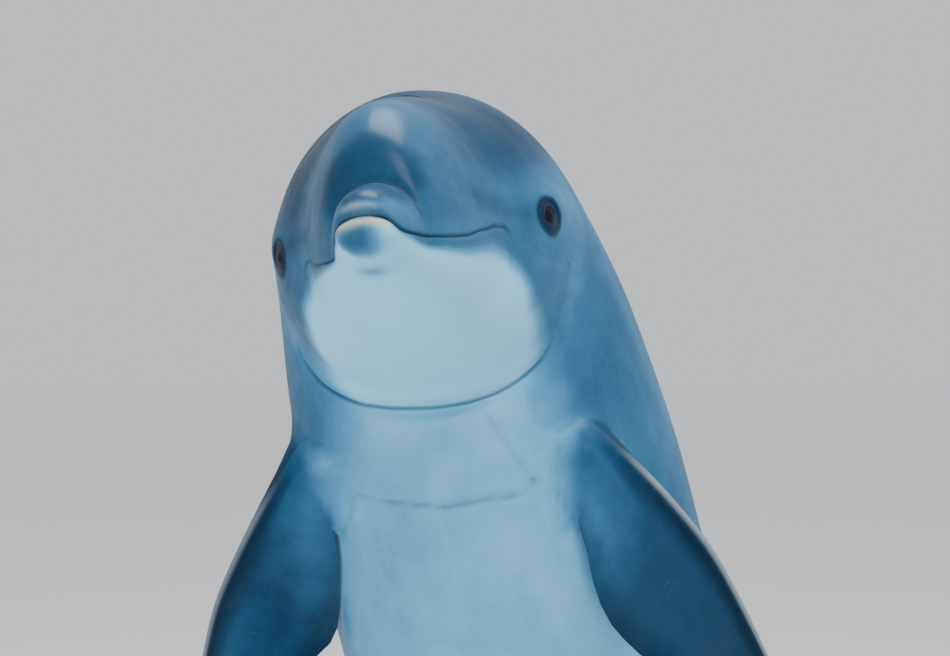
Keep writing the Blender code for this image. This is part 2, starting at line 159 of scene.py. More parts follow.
def straightSkin(s, angle):
    # points of the straight animal's skin
    c, sn = np.cos(angle), np.sin(angle)
    power = roundness(s, sn)
    mouth = curve(body["mouth"], s)
    reach = np.where(sn >= 0, curve(body["back"], s) - mouth, mouth - curve(body["belly"], s))
    rounding = 1 / np.sqrt(np.clip(s / body["tip"], 1e-6, 1))
    x = np.sign(c) * np.abs(c) ** (2 / power) * curve(body["flank"], s) * rounding
    z = mouth + np.sign(sn) * np.abs(sn) ** (2 / power) * reach * rounding
    forward = body["jawOvershot"] * ramp(0, .7, -sn) * hump(0, .02, .02, .06, s)
    return np.stack([x, s - forward, z], -1)


def rotation(axis, degrees):
    t = np.radians(degrees)
    i, j = {"X": (1, 2), "Y": (2, 0), "Z": (0, 1)}[axis]
    made = np.zeros((*t.shape, 3, 3)) + np.eye(3)
    made[..., i, i] = made[..., j, j] = np.cos(t)
    made[..., i, j], made[..., j, i] = -np.sin(t), np.sin(t)
    return made


def turned(s):
    # rotation of the body's cross section at s: columns left, rearward, up
    return (rotation("Z", curve(body["turn"], s)) @ rotation("Y", -curve(body["lean"], s))
            @ rotation("X", -curve(body["pitch"], s)))


spineMiddles = (np.arange(body["spineSteps"]) + .5) * body["spineStep"]
spine = np.concatenate([np.zeros((1, 3)),
                        np.cumsum(turned(spineMiddles)[:, :, 1] * body["spineStep"], 0)])
ground = np.zeros(3)       # moved below, so that the eyes come where the solids have them


def place(points):
    # carry points of the straight animal to their posed places on the stand
    inside = np.clip(points[..., 1], 0, (body["spineSteps"] - 1) * body["spineStep"])
    i = (inside / body["spineStep"]).astype(int)
    t = (inside / body["spineStep"] - i)[..., None]
    local = np.stack([points[..., 0], points[..., 1] - inside, points[..., 2]], -1)
    return (ground + spine[i] * (1 - t) + spine[i + 1] * t
            + np.einsum("...ij,...j->...i", turned(inside), local))


eye = {
    "s": .325, "z": -.015,
    "radii": np.array([.013, .021, .0145]),      # outwards, along the body, up
    "proud": .003, "tilt": 12,
    "opening": (.0135, .0078),                   # half the lids' opening: along, up
    "sides": {"left": 1, "right": -1},
}


def eyeSeat(side):
    # centre of the ball, and a matrix whose columns point outwards, along the body and up
    angles = np.arange(0, .6, .002)      # up the flank, to find where the skin is at eye level
    s = np.full_like(angles, eye["s"])
    first = np.argmax(straightSkin(s, angles)[:, 2] >= eye["z"])
    here, further, higher = straightSkin(np.array([eye["s"], eye["s"] + .01, eye["s"]]),
                                         angles[first] + np.array([0, 0, .05]))
    along, up = unit(further - here), unit(higher - here)
    out = unit(np.cross(along, up))
    out = out if out[0] > 0 else -out
    seat = np.stack([out, along, np.cross(out, along)], -1) @ rotation("X", eye["tilt"])
    mirror = np.diag([side, 1, 1])
    centre = mirror @ (here + out * (eye["proud"] - eye["radii"][0]))
    return place(centre), turned(np.array(eye["s"])) @ mirror @ seat


ground = np.mean([np.array(sum(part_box("eye_" + name), Vector())) / 2 - eyeSeat(side)[0]
                  for name, side in eye["sides"].items()], axis=0)
print("shape laid out, ground", ground.round(4))

# the skin's own relief
relief = {
    "mouthEnd": (.248, .264), "mouthDepth": .002, "mouthHalfWidth": .001,
    # how far each half of the mouth line lies above the widest line of the head
    "mouthShift": {
        "left": [(0, 0), (.03, -.004), (.06, -.002), (.1, 0), (.18, 0), (.22, -.003),
                 (.245, -.003), (.262, -.0015), (.29, 0)],
        "right": [(0, 0), (.03, -.0025), (.06, -.0045), (.09, -.007), (.12, -.0055), (.18, -.005),
                  (.22, -.007), (.245, -.0072), (.262, -.0045), (.29, 0)]},
    "lipRoll": [(.0003, .0036, .0026)], "lipStep": .0005,      # the upper lip stands proud
    # swellings and hollows: height, s, half width in s, elevation, half width in degrees;
    # first the lower jaw's round end, then the cheek and the brow
    "swellings": [(.0032, .01, .01, -44, 34), (-.002, .034, .009, -52, 40),
                  (.0026, .288, .022, -19, 13), (.0045, .345, .045, 9, 9),
                  (-.0012, .345, .035, -10, 6)],
    "melonOverhang": .005, "beakCrease": .0845,
    "beakFold": [(-.0036, 0, .0034), (.001, -.009, .005)],
    # a crescent with its ends forward, a raised rim behind it, and the plug ahead of it
    "blowhole": .348, "blowholeBend": 16,
    "blowholeFold": [(-.0065, 0, .0015), (.0006, .0052, .0032), (.0009, -.006, .0048)],
    # ears: s, elevation, and the head's radius there
    "ear": (.375, -12, .14), "earFold": [(-.003, 0, .0013), (.0006, .0042, .0022)],
    # on the midline of the belly: s of the middle, half length where it is fully open, and in all
    "openings": {"navel": (1.18, .006, .013, [(-.0035, 0, .0022), (.0009, .007, .004)]),
                 "slit": (1.495, .035, .055, [(-.0055, 0, .002), (.0022, .007, .0045)]),
                 "vent": (1.72, .004, .009, [(-.004, 0, .0022), (.0015, .006, .004)])},
    # windows of finer mesh: s from, s to, angle from, angle to (degrees), cuts in each edge
    "windows": [(.322, .374, 72, 108, 4), (.366, .384, -20, -3, 5), (.366, .384, 183, 200, 5),
                (1.16, 1.2, -95, -85, 4), (1.42, 1.57, -96, -84, 3), (1.705, 1.735, -96, -84, 3)],
}


def elevation(angle):
    # degrees above the flank, the same on both sides
    return np.degrees(np.arcsin(np.clip(np.sin(angle), -1, 1)))


def lipLine(s, x):
    # height of the mouth line, which isn't quite the same on both sides
    shift = relief["mouthShift"]
    return curve(body["mouth"], s) + np.where(x > 0, curve(shift["left"], s),
                                              curve(shift["right"], s))


def fromBlowhole(s, x):
    # distance behind the middle of the crescent
    return s - relief["blowhole"] + relief["blowholeBend"] * x**2


def fromEar(s, e):
    middle, level, radius = relief["ear"]
    return np.hypot(s - middle, np.radians(e - level) * radius)


def skinRise(s, angle, base):
    # how far the skin stands out from the plain shape, in metres
    e = elevation(angle)
    x, h = base[..., 0], base[..., 2] - lipLine(s, base[..., 0])
    width = relief["mouthHalfWidth"] * (1 + .25 * ramp(.1, 0, s))
    rise = (1 - ramp(*relief["mouthEnd"], s)) * (
        profile(relief["lipRoll"], np.abs(h)) - relief["mouthDepth"] * bell(h, width)
        + relief["lipStep"] * hump(0, .0014, .004, .014, h))
    for height, middle, width, level, spread in relief["swellings"]:
        rise += height * bell(s - middle, width) * bell(e - level, spread)
    rise += profile(relief["beakFold"], s - relief["beakCrease"]) * ramp(6, 40, e)
    onTop, d = ramp(60, 70, e), fromBlowhole(s, x)
    rise += onTop * (profile(relief["blowholeFold"], d) * (1 - ramp(.014, .022, np.abs(x)))
                     - .001 * bell(d - .013, .006) * bell(x, .022))   # a hollow behind it
    rise += profile(relief["earFold"], fromEar(s, e))
    for middle, full, end, fold in relief["openings"].values():
        rise += ramp(-60, -75, e) * (1 - ramp(full, end, np.abs(s - middle))) * (
            profile(fold, np.abs(x)))
    return rise


def skinPoint(s, angle):
    # points of the straight animal's skin with its relief
    base = straightSkin(s, angle)
    ds, turn = .0006, .004     # small steps to either side, which show where the skin faces
    along = straightSkin(s + ds, angle) - straightSkin(np.maximum(s - ds, 1e-5), angle)
    around = straightSkin(s, angle + turn) - straightSkin(s, angle - turn)
    point = base + unit(np.cross(along, around)) * skinRise(s, angle, base)[..., None]
    point[..., 1] -= relief["melonOverhang"] * bell(s - .103, .015) * ramp(0, 62, elevation(angle))
    # the body narrows to a small rounded end between the flukes
    point[..., 0] *= 1 - body["endTaper"] * ramp(2.36, body["end"], s)
    return point


def rowPlaces():
    fine = np.linspace(0, body["end"], 20000)
    crowd = 1 / curve(body["rowStep"], fine)
    count = np.concatenate([[0], np.cumsum((crowd[1:] + crowd[:-1]) / 2 * np.diff(fine))])
    rows = int(round(count[-1]))
    placed = np.interp(np.arange(1, rows + 1) / rows * count[-1], count, fine)
    # extra rows inside the first, because the beak's tip is blunt
    extra = np.arange(1, body["tipRows"] + 1) / (body["tipRows"] + 1)
    return np.append(placed[0] * extra**2, placed)


def columnAngles(s):
    # columns crowd along the mouth on the head, and on the throat and chest further back
    u = np.radians(-90 + np.arange(body["columns"]) * 360 / body["columns"])[None]
    mouthPull = body["mouthPull"] * (1 - ramp(.27, .4, s))
    chestPull = body["chestPull"] * hump(.28, .42, .8, 1, s)
    return u - mouthPull * np.sin(2 * u) / 2 - chestPull * np.cos(u)


rowS = rowPlaces()[:, None]
gridAngle = columnAngles(rowS)
# on the throat the rows bend back at the sides, as its crease does
fromBelly = np.degrees(np.abs((gridAngle + np.pi * 1.5) % (2 * np.pi) - np.pi))
gridS = rowS + body["throatWarp"] * (1 - np.cos(np.radians(np.minimum(fromBelly, 65)))) * (
    hump(.37, .424, .424, .54, rowS))
gridRows, gridColumns = gridS.shape
plainGrid = place(straightSkin(gridS, gridAngle))
print("skin grid", gridRows, "x", gridColumns)
# the grid's quads, as the numbers of their points
gridCorners = np.arange(gridRows * gridColumns).reshape(gridRows, gridColumns)
gridNext = np.roll(gridCorners, -1, 1)
gridQuads = np.stack([gridCorners[:-1], gridNext[:-1], gridNext[1:], gridCorners[1:]], -1)


def searchTree(places):
    # finds where the grid is nearest to a point, or where a ray meets it
    return BVHTree.FromPolygons([Vector(p) for p in places.reshape(-1, 3)],
                                gridQuads.reshape(-1, 4).tolist())


plainTree = searchTree(plainGrid)


def outside(point):
    # distance of a point outside the plain skin, negative inside it; the grid faces inwards
    near, normal = plainTree.find_nearest(Vector(point))[:2]
    offset = near - Vector(point)
    return math.copysign(offset.length, offset.dot(normal))


# each fin: s of its start, its span out from there, how deep inside the body it begins, how far
# out its fillet meets it, rings of points, how wide the fillet is on the body, and, over the
# distance out, the places of its front and rear edges and its thickness
fins = {
    "flipper": {
        "span": .372, "bend": .011, "inner": -.04, "leave": .016, "rings": 36, "margin": .02,
        "middle": .05,         # of its root, behind its start
        "flare": (.008, .012, .5),        # at its root: forwards, rearwards, and how much thicker
        "front": [(0, 0), (.04, -.002), (.08, .002), (.16, .02), (.24, .066), (.3, .114),
                  (.345, .163), (.372, .204)],
        "rear": [(0, .07), (.03, .078), (.055, .098), (.08, .132), (.1, .158), (.12, .176),
                 (.145, .187), (.18, .188), (.24, .182), (.3, .19), (.345, .204), (.372, .214)],
        "depth": [(0, .034), (.06, .028), (.16, .02), (.28, .012), (.372, .005)],
        "left": {"side": 1, "start": .622, "angle": -43, "sweep": 24, "droop": 42, "twist": -11,
                 "cup": .032, "shift": 0,
                 "trim": [(0, -.006), (.03, -.01), (.05, -.01), (.07, -.007), (.09, 0),
                          (.11, .004), (.16, .004), (.2, .002), (.372, 0)]},
        "right": {"side": -1, "start": .615, "angle": -34, "sweep": 25, "droop": 53, "twist": 8,
                  "cup": .056, "shift": -.048,
                  "trim": [(0, 0), (.05, .002), (.07, .006), (.09, .009), (.11, .0085),
                           (.13, .006), (.16, .002), (.2, 0), (.372, 0)]},
    },
    "dorsal": {
        "start": 1.09, "span": .235, "inner": -.045, "leave": .026, "rings": 30, "margin": .044,
        "middle": .17,
        "front": [(-.05, -.03), (0, 0), (.03, .04), (.08, .098), (.14, .168), (.19, .236),
                  (.22, .292), (.235, .338)],
        "rear": [(-.05, .375), (0, .35), (.03, .322), (.08, .3), (.14, .304), (.19, .322),
                 (.22, .338), (.235, .35)],
        "depth": [(-.05, .052), (0, .04), (.03, .031), (.12, .02), (.2, .01), (.235, .005)],
    },
    "fluke": {
        "start": 2.235, "span": .312, "inner": .004, "leave": .04, "rings": 26, "margin": .014,
        "front": [(0, -.035), (.04, .01), (.1, .046), (.16, .088), (.22, .14), (.27, .194),
                  (.3, .238), (.312, .264)],
        "rear": [(0, .234), (.04, .25), (.09, .256), (.15, .25), (.22, .249), (.27, .258),
                 (.3, .269), (.312, .276)],
        "depth": [(0, .034), (.06, .026), (.16, .016), (.26, .009), (.312, .005)],
    },
    "edge": .0011,             # half the thickness of a fin's rear edge
    "tipRound": .005,          # the last of a fin, that narrows to its tip
    "filletRings": 9, "smoothings": 5,
    # lines along a fin and steps out on each, to find where it comes through the body's skin
    "lines": 48, "steps": 46, "stepsReach": .16,
    "straightRows": 16,        # rows at the skin's end where a fillet starts straight
}


def finSection(fin, out, around, frontMove=0, rearMove=0, depthScale=1):
    # place along the animal and height of a fin's surface; around is 0 at the front edge
    c = (1 - np.cos(around)) / 2
    front, rear = curve(fin["front"], out) + frontMove, curve(fin["rear"], out) + rearMove
    # the thickness of a common wing section
    half = 5 * curve(fin["depth"], out) * depthScale * (
        .2969 * np.sqrt(c) - .126 * c - .3516 * c**2 + .2843 * c**3 - .1015 * c**4)
    close = 1.6 * fins["edge"] / (rear - front)
    half = half * np.clip((1 - c) / close, 0, 1) ** .3 + fins["edge"] * ramp(.2, .8, c) * np.sqrt(
        1 - np.clip((c - 1 + close) / close, 0, 1) ** 2)
    narrow = np.sqrt(1 - np.clip((out - fin["span"] + fins["tipRound"]) / fins["tipRound"],
                                 0, .999) ** 2)
    middle = (front + rear) / 2
    along = middle + (front + (rear - front) * c - middle) * narrow
    return c, along, np.sign(np.sin(around)) * half * narrow


def flipperPoint(side, out, around):
    fin, own = fins["flipper"], fins["flipper"][side]
    mirror = np.diag([own["side"], 1, 1])
    root = place(mirror @ straightSkin(np.array(own["start"]), np.radians(own["angle"])))
    aim = (turned(np.array(own["start"] + fin["middle"])) @ mirror @ rotation("Y", own["droop"])
           @ rotation("Z", own["sweep"]) @ rotation("X", own["twist"]))
    flare = 1 - ramp(-.02, .05, out)
    ahead, behind, thicker = (flare * k for k in fin["flare"])
    c, along, height = finSection(fin, out, around, -ahead,
                                  behind + own["shift"] * (1 - ramp(.075, .13, out))
                                  + curve(own["trim"], out), 1 + thicker)
    bend = fin["bend"] * (np.maximum(out, 0) / fin["span"]) ** 2
    curl = own["cup"] * (1 - ramp(.07, .15, out)) * c**2
    return root + np.stack([out + 0 * c, along, height - bend - curl], -1) @ aim.T


def dorsalPoint(side, out, around):
    fin = fins["dorsal"]
    c, along, height = finSection(fin, out, around)
    return place(np.stack([height, fin["start"] + along,
                           curve(body["back"], fin["start"] + fin["middle"]) + out + 0 * c], -1))


def flukePoint(side, out, around):
    fin = fins["fluke"]
    c, along, height = finSection(fin, out, around)
    sign = 1 if side == "left" else -1
    return place(np.stack([sign * (out + 0 * c), fin["start"] + along, height], -1))


def leavingPlaces(fin, side, point, arounds):
    # for each line along the fin, how far out it comes through the body's skin
    furthest = min(fin["span"], fin["inner"] + fins["stepsReach"])
    outs = np.linspace(fin["inner"], furthest, fins["steps"])
    found = []
    for around in arounds:
        depths = [outside(p) for p in point(side, outs, np.full_like(outs, around))]
        k = min(max([k for k, depth in enumerate(depths) if depth < 0]), len(outs) - 2)
        found.append(np.interp(0, depths[k:k + 2], outs[k:k + 2]))
    return np.array(found)


# one closed skin
points, faces, notes = [], [], []
noteNames = ["s", "cosine", "sine", "kind", "weight", "out", "chord", "upper"]
kinds = {"body": 0, "flipper": 1, "dorsal": 2, "fluke": 3, "lid": 4}


def addPoints(places, s, angle, kind="body", weight=0, out=0, chord=0, upper=0):
    first = sum(len(p) for p in points)
    points.append(places)
    values = (s, np.cos(angle), np.sin(angle), kinds[kind], weight, out, chord, upper)
    notes.append(np.stack([np.broadcast_to(v, len(places)) for v in values], -1).astype(float))
    return first + np.arange(len(places))


def addRing(last, places, *about):
    # a new ring joined to the last one; it has as many points, or two for each
    new = addPoints(places, *about)
    for i in range(len(last)):
        j = (i + 1) % len(last)
        if len(new) == len(last):
            faces.append((last[i], last[j], new[j], new[i]))
        else:
            faces.append((last[i], last[j], new[2 * j], new[2 * i + 1]))
            faces.append((last[i], new[2 * i + 1], new[2 * i]))
    return new


def closeRing(last, middle, *about):
    new = addPoints(middle.reshape(1, 3), *about)[0]
    for i in range(len(last)):
        faces.append((last[i], last[(i + 1) % len(last)], new))


def gridPlace(point):
    # the row and column of the grid next to a point
    index = plainTree.find_nearest(Vector(point))[2]
    return divmod(index, gridColumns)


def blockAround(spots, margin):
    # rows and columns of a block of the grid that holds the spots, with a margin in metres
    found = np.array([gridPlace(p) for p in spots])
    middle = found[0, 1]
    across = (found[:, 1] - middle + gridColumns // 2) % gridColumns - gridColumns // 2
    r0, r1 = found[:, 0].min(), found[:, 0].max() + 1
    r = (r0 + r1) // 2
    c0, c1 = across.min() + middle, across.max() + 1 + middle
    sizes = [np.linalg.norm(plainGrid[r, (c + 1) % gridColumns] - plainGrid[r, c % gridColumns])
             for c in (c0, c1)]
    r0 = np.searchsorted(rowS[:, 0], rowS[r0, 0] - margin)
    r1 = min(np.searchsorted(rowS[:, 0], rowS[r1, 0] + margin), gridRows - 1)
    return r0, r1, c0 - int(np.ceil(margin / sizes[0])), c1 + int(np.ceil(margin / sizes[1]))


gridPoints = place(skinPoint(gridS, gridAngle))
gridNumber = addPoints(gridPoints.reshape(-1, 3), gridS.ravel(),
                       gridAngle.ravel()).reshape(gridRows, gridColumns)
openFaces = np.zeros((gridRows - 1, gridColumns), bool)


def openBlock(block):
    # take a block's faces away; its rim's rows and columns, and its points' numbers, places,
    # s and angles
    r0, r1, c0, c1 = block
    openFaces[r0:r1, np.arange(c0, c1) % gridColumns] = True
    loop = ([(r0, c) for c in range(c0, c1)] + [(r, c1) for r in range(r0, r1)]
            + [(r1, c) for c in range(c1, c0, -1)] + [(r, c0) for r in range(r1, r0, -1)])
    rows, columns = np.array(loop).T
    at = rows, columns % gridColumns
    return rows, columns, gridNumber[at], gridPoints[at], gridS[at], gridAngle[at]


def growFin(name, side, point):
    fin = fins[name]
    # upper side of the fin as the grid's columns run
    flip = -1 if side == "right" or name == "dorsal" else 1
    probe = np.linspace(0, 2 * np.pi, fins["lines"], endpoint=False)
    leave = leavingPlaces(fin, side, point, probe)
    block = r0, r1, c0, c1 = blockAround(point(side, leave, probe), fin["margin"])
    rows, columns, last, rim, s, angle = openBlock(block)
    v = (rows - (r0 + r1) / 2) / ((r1 - r0) / 2)
    u = (columns - (c0 + c1) / 2) / ((c1 - c0) / 2)
    around = np.arctan2(u * flip, -v) % (2 * np.pi)
    out = np.interp(around, probe, leave, period=2 * np.pi)
    for _ in range(fins["smoothings"]):
        out = (np.roll(out, 1) + 2 * out + np.roll(out, -1)) / 4
    out += fin["leave"]
    # a fillet leaves the body along its skin and meets the fin along its own surface
    ds, turn, step = .0008, .004, .003
    normal = unit(np.cross(place(straightSkin(s + ds, angle)) - rim,
                           place(straightSkin(s, angle + turn)) - rim))
    foot = point(side, out, around)
    aim = unit(point(side, out + step, around) - foot)
    reach = foot - rim
    size = np.linalg.norm(reach, axis=1, keepdims=True)
    height = np.sum(reach * normal, 1, keepdims=True)
    atEnd = ramp(gridRows - fins["straightRows"], gridRows - 1, rows)[:, None]
    slide = (reach - normal * height) * (1 - atEnd) + reach * atEnd
    pull = np.minimum(size, 2.2 * np.abs(height) + .2 * size) * (1 - atEnd) + .8 * size * atEnd
    chord, upper = (1 - np.cos(around)) / 2, np.sin(around)
    for t in np.arange(1, fins["filletRings"] + 1) / fins["filletRings"]:
        last = addRing(last, hermite(t, rim, slide, foot, aim * pull), s, angle, name, t, out,
                       chord, upper)
    for t in np.sin(np.arange(1, fin["rings"] + 1) / fin["rings"] * np.pi / 2):
        here = out + (fin["span"] - out) * t
        last = addRing(last, point(side, here, around), s, angle, name, 1, here, chord, upper)
    closeRing(last, points[-1].mean(0), s[0], angle[0], name, 1, fin["span"], .5)
    print("grew", name, side, "from rows", r0, r1, "columns", c0, c1, len(rim), "points round")


for side in ("left", "right"):
    growFin("flipper", side, flipperPoint)
growFin("dorsal", "", dorsalPoint)
for side in ("left", "right"):
    growFin("fluke", side, flukePoint)
reliefTree = searchTree(gridPoints)


def ballHeight(along, up):
    # how far the eyeball stands out from its own middle
    rest = 1 - (along / eye["radii"][1]) ** 2 - (up / eye["radii"][2]) ** 2
    return eye["radii"][0] * np.sqrt(np.maximum(rest, .02))


lid = {
    # how far the lids reach, how far their edge stands off the ball, and how far that swells
    "reach": .03, "lip": .0007, "swell": .0135,
    # rolls and grooves: height, distance from the edge, half width, share on the lower lid
    "rolls": [(.0003, .0018, .0015, 1), (-.0006, .005, .0013, .5), (.0005, .0082, .0024, 0)],
    # rings from the skin to the lids' edge, as shares of the way; the inner have twice the points
    "outer": [.86, .73, .61], "inner": [.5, .41, .335, .27, .215, .17, .135, .105, .08, .058,
                                        .04, .026, .014, .005, 0],
    # rings from the edge to behind the ball: size of the opening, and how far they sink
    "behind": [(.975, -.0003), (.94, -.0008), (.93, -.0024), (.8, -.0045), (.4, -.006)],
}


def growLids(side):
    # the skin round an eye, closed behind the ball
    centre, seat = eyeSeat(side)
    middle = plainGrid[gridPlace(centre + seat[:, 0] * .02)]
    last, rim, s, angle = openBlock(blockAround([middle], lid["reach"]))[2:]
    flat = (rim - centre) @ seat
    turn = np.arctan2(flat[:, 2] / eye["opening"][1] * .75, flat[:, 1] / eye["opening"][0])

    def opening(turn, scale=1.0):
        c, sn = np.cos(turn), np.sin(turn)
        lift = np.where(sn > 0, 1.08, .92) * np.abs(sn) ** 1.35
        return np.stack([eye["opening"][0] * c, eye["opening"][1] * np.sign(sn) * lift],
                        -1) * scale

    def skinHeight(flat2, above=.05):
        starts = centre + np.insert(flat2, 0, above, axis=1) @ seat.T
        return np.array([above - reliefTree.ray_cast(Vector(p), Vector(-seat[:, 0]))[3]
                         for p in starts])

    def doubled(values):
        return np.stack([values, (values + np.roll(values, -1, 0)) / 2], 1).reshape(
            -1, *values.shape[1:])

    far, turns = flat[:, 1:], turn
    for ring, share in enumerate(lid["outer"] + lid["inner"]):
        if ring == len(lid["outer"]):
            far, s, angle = doubled(far), doubled(s), doubled(np.unwrap(angle))
            turns = doubled(np.unwrap(np.append(turn, turn[0])))[:-2]
        edge = opening(turns)
        flat2 = edge + (far - edge) * share
        gap = np.linalg.norm(far - edge, axis=1) * share
        lipHeight = ballHeight(*edge.T) + lid["lip"]
        upperLid = ramp(-.2, .6, np.sin(turns))
        rise = (lipHeight - skinHeight(edge)) * (1 - ramp(0, lid["swell"], gap))
        for height, away, width, lower in lid["rolls"]:
            rise += height * bell(gap - away, width) * (lower + (1 - lower) * upperLid)
        height = skinHeight(flat2) + rise * ramp(1, .8, share)
        spot = centre + np.stack([height, *flat2.T], -1) @ seat.T
        last = addRing(last, spot, s, angle, "lid", 1 - share, gap, 0, np.sin(turns))
    for scale, sink in lid["behind"]:
        edge = opening(turns, scale)
        height = np.minimum(ballHeight(*edge.T) + lid["lip"], lipHeight) + sink
        spot = centre + np.stack([height, *edge.T], -1) @ seat.T
        last = addRing(last, spot, s, angle, "lid", 1, -.001, 0, np.sin(turns))
    closeRing(last, centre + seat[:, 0] * .005, s[0], angle[0], "lid", 1, -.002)


for side in eye["sides"].values():
    growLids(side)

faces += gridQuads[~openFaces].tolist()
# the beak's tip and the rounded end between the flukes
tip = place(np.array([0, relief["mouthDepth"], curve(body["mouth"], 0)]))
closeRing(gridNumber[0], tip, 0, 0)
endMiddle = place(np.array([0, body["end"], 0]))
rearward = turned(np.array(body["end"]))[:, 1] * .004
last = gridNumber[-1]
for t in np.radians([30, 55, 75]):
    ring = endMiddle + (gridPoints[-1] - endMiddle) * np.cos(t) + rearward * np.sin(t)
    last = addRing(last, ring, body["end"], gridAngle[-1])
closeRing(last, endMiddle + rearward, body["end"], 0)


def addObject(name, data):
    made = bpy.data.objects.new(name, data)
    bpy.context.scene.collection.objects.link(made)
    return made


def writeNumbers(mesh, name, values):
    # a number or a vector for each point of a mesh, for its material
    kind, field = ("FLOAT", "value") if values.ndim == 1 else ("FLOAT_VECTOR", "vector")
    mesh.attributes.new(name, kind, "POINT").data.foreach_set(
        field, values.astype(np.float32).ravel())


def readNumbers(items, field, size=1):
    values = np.zeros(len(items) * size, np.float32)
    items.foreach_get(field, values)
    return (values if size == 1 else values.reshape(-1, size)).astype(float)


def movePoints(mesh, places):
    mesh.vertices.foreach_set("co", places.astype(np.float32).ravel())
    mesh.update()


skinMesh = bpy.data.meshes.new("dolphin_skin")
skinMesh.from_pydata(np.concatenate(points).tolist(), [], [[int(i) for i in f] for f in faces])
for name, values in zip(noteNames, np.concatenate(notes).T):
    writeNumbers(skinMesh, name, values)
bm = bmesh.new()
bm.from_mesh(skinMesh)
layer = {name: bm.verts.layers.float[name] for name in noteNames}


def inWindow(v, s0, s1, a0, a1):
    if v[layer["kind"]] > 0 or not s0 <= v[layer["s"]] <= s1:
        return False
    a = math.degrees(math.atan2(v[layer["sine"]], v[layer["cosine"]]))
    return (a - a0) % 360 <= a1 - a0


for *window, cuts in relief["windows"]:
    inside = {v for v in bm.verts if inWindow(v, *window)}
    edges = [e for e in bm.edges if e.verts[0] in inside and e.verts[1] in inside]
    bmesh.ops.subdivide_edges(bm, edges=edges, cuts=cuts, use_grid_fill=True)
bmesh.ops.recalc_face_normals(bm, faces=bm.faces)
print("skin", len(bm.verts), "points,", sum(len(f.verts) - 2 for f in bm.faces),
      "triangles,", sum(not e.is_manifold for e in bm.edges), "open edges")
bm.to_mesh(skinMesh)
bm.free()
skinObject = addObject("dolphin_skin", skinMesh)

note = {name: readNumbers(skinMesh.attributes[name].data, "value") for name in noteNames}
skinS, skinAngle = note["s"], np.arctan2(note["sine"], note["cosine"])
isBody = note["kind"] == kinds["body"]
isTip = isBody & (skinS < 1e-6)
isGrid = isBody & ~isTip & (skinS < body["end"] - 1e-6)
where = readNumbers(skinMesh.vertices, "co", 3)
where[isGrid] = place(skinPoint(skinS[isGrid], skinAngle[isGrid]))
movePoints(skinMesh, where)
# folds, pressed into the posed skin
# each fold: its line as (s, angle), depth, half width, the roll ahead of it and that roll's
# width, and how much painted shade it gets
folds = {
    "throat": ([(.368, -30), (.405, -38), (.433, -50), (.435, -64), (.426, -86), (.425, -96),
                (.437, -110), (.45, -120), (.455, -132), (.44, -145), (.405, -153),
                (.365, -158)],
               .0032, .0014, .0034, .011, .78),
    "chin": ([(.262, -150), (.275, -132), (.29, -112), (.292, -90), (.288, -70), (.275, -52)],
             .0012, .01, 0, .01, .03),
    "chest": ([(.646, -123), (.65, -113), (.655, -103), (.66, -95), (.666, -88), (.666, -79),
               (.671, -70), (.675, -61)],
              .0022, .0019, .0016, .008, .5),
    "throatRight": ([(.455, -118), (.5, -117), (.554, -115.5), (.625, -114.5)],
                    .0013, .004, 0, .01, .1),
    "throatLeft": ([(.462, -77), (.51, -74), (.573, -71), (.645, -65.5), (.664, -63.5)],
                   .0015, .0026, 0, .01, .3),
    "pitLeft": ([(.655, -64.5), (.664, -63.5), (.672, -62.5)], .003, .0055, 0, .01, .4),
    "rootLeft": ([(.606, -45.5), (.614, -53), (.631, -54.5), (.649, -55.5)],
                 .0013, .0026, 0, .006, .24),
    "pitFlipperLeft": ([(.672, -60.5), (.69, -57.5), (.71, -56), (.75, -53.2)],
                       .0015, .0027, 0, .006, .3),
    "pitFlipperLeft2": ([(.695, -52.5), (.729, -52), (.762, -52)],
                        .0013, .0027, 0, .006, .26),
    "rootRight": ([(.591, -145), (.587, -134), (.595, -126.5)], .0013, .0026, 0, .006, .24),
    "pitFlipperRight": ([(.655, -129), (.69, -131), (.722, -133)],
                        .0014, .0027, 0, .006, .26),
    "pitFlipperRight2": ([(.636, -117), (.68, -122), (.718, -129)],
                         .0014, .0027, 0, .006, .26),
}
# the same on both sides of the head: the end of the mouth, and wrinkles round the eye
bothSides = {
    "mouthEnd": ([(.248, -1), (.256, -3), (.261, -6), (.263, -9)], .0012, .0016, 0, .005, .32),
    "underEye": ([(.3, -4), (.312, -8), (.326, -9.5), (.342, -7)],
                 .0006, .0018, 0, .005, .08),
    "overEye": ([(.3, 11), (.314, 15), (.33, 15.5), (.346, 12)],
                .0008, .002, 0, .005, .1),
    "behindEye": ([(.349, 9), (.356, 3), (.354, -5)], .0004, .0018, 0, .005, .05),
}
for name, (line, *shape) in bothSides.items():
    folds[name + "Left"] = (line, *shape)
    folds[name + "Right"] = ([(s, 180 - a) for s, a in line], *shape)
skinTree = BVHTree.FromPolygons([Vector(p) for p in where],
                                [tuple(f.vertices) for f in skinMesh.polygons])
creased, move = np.zeros(len(where)), np.zeros(len(where))


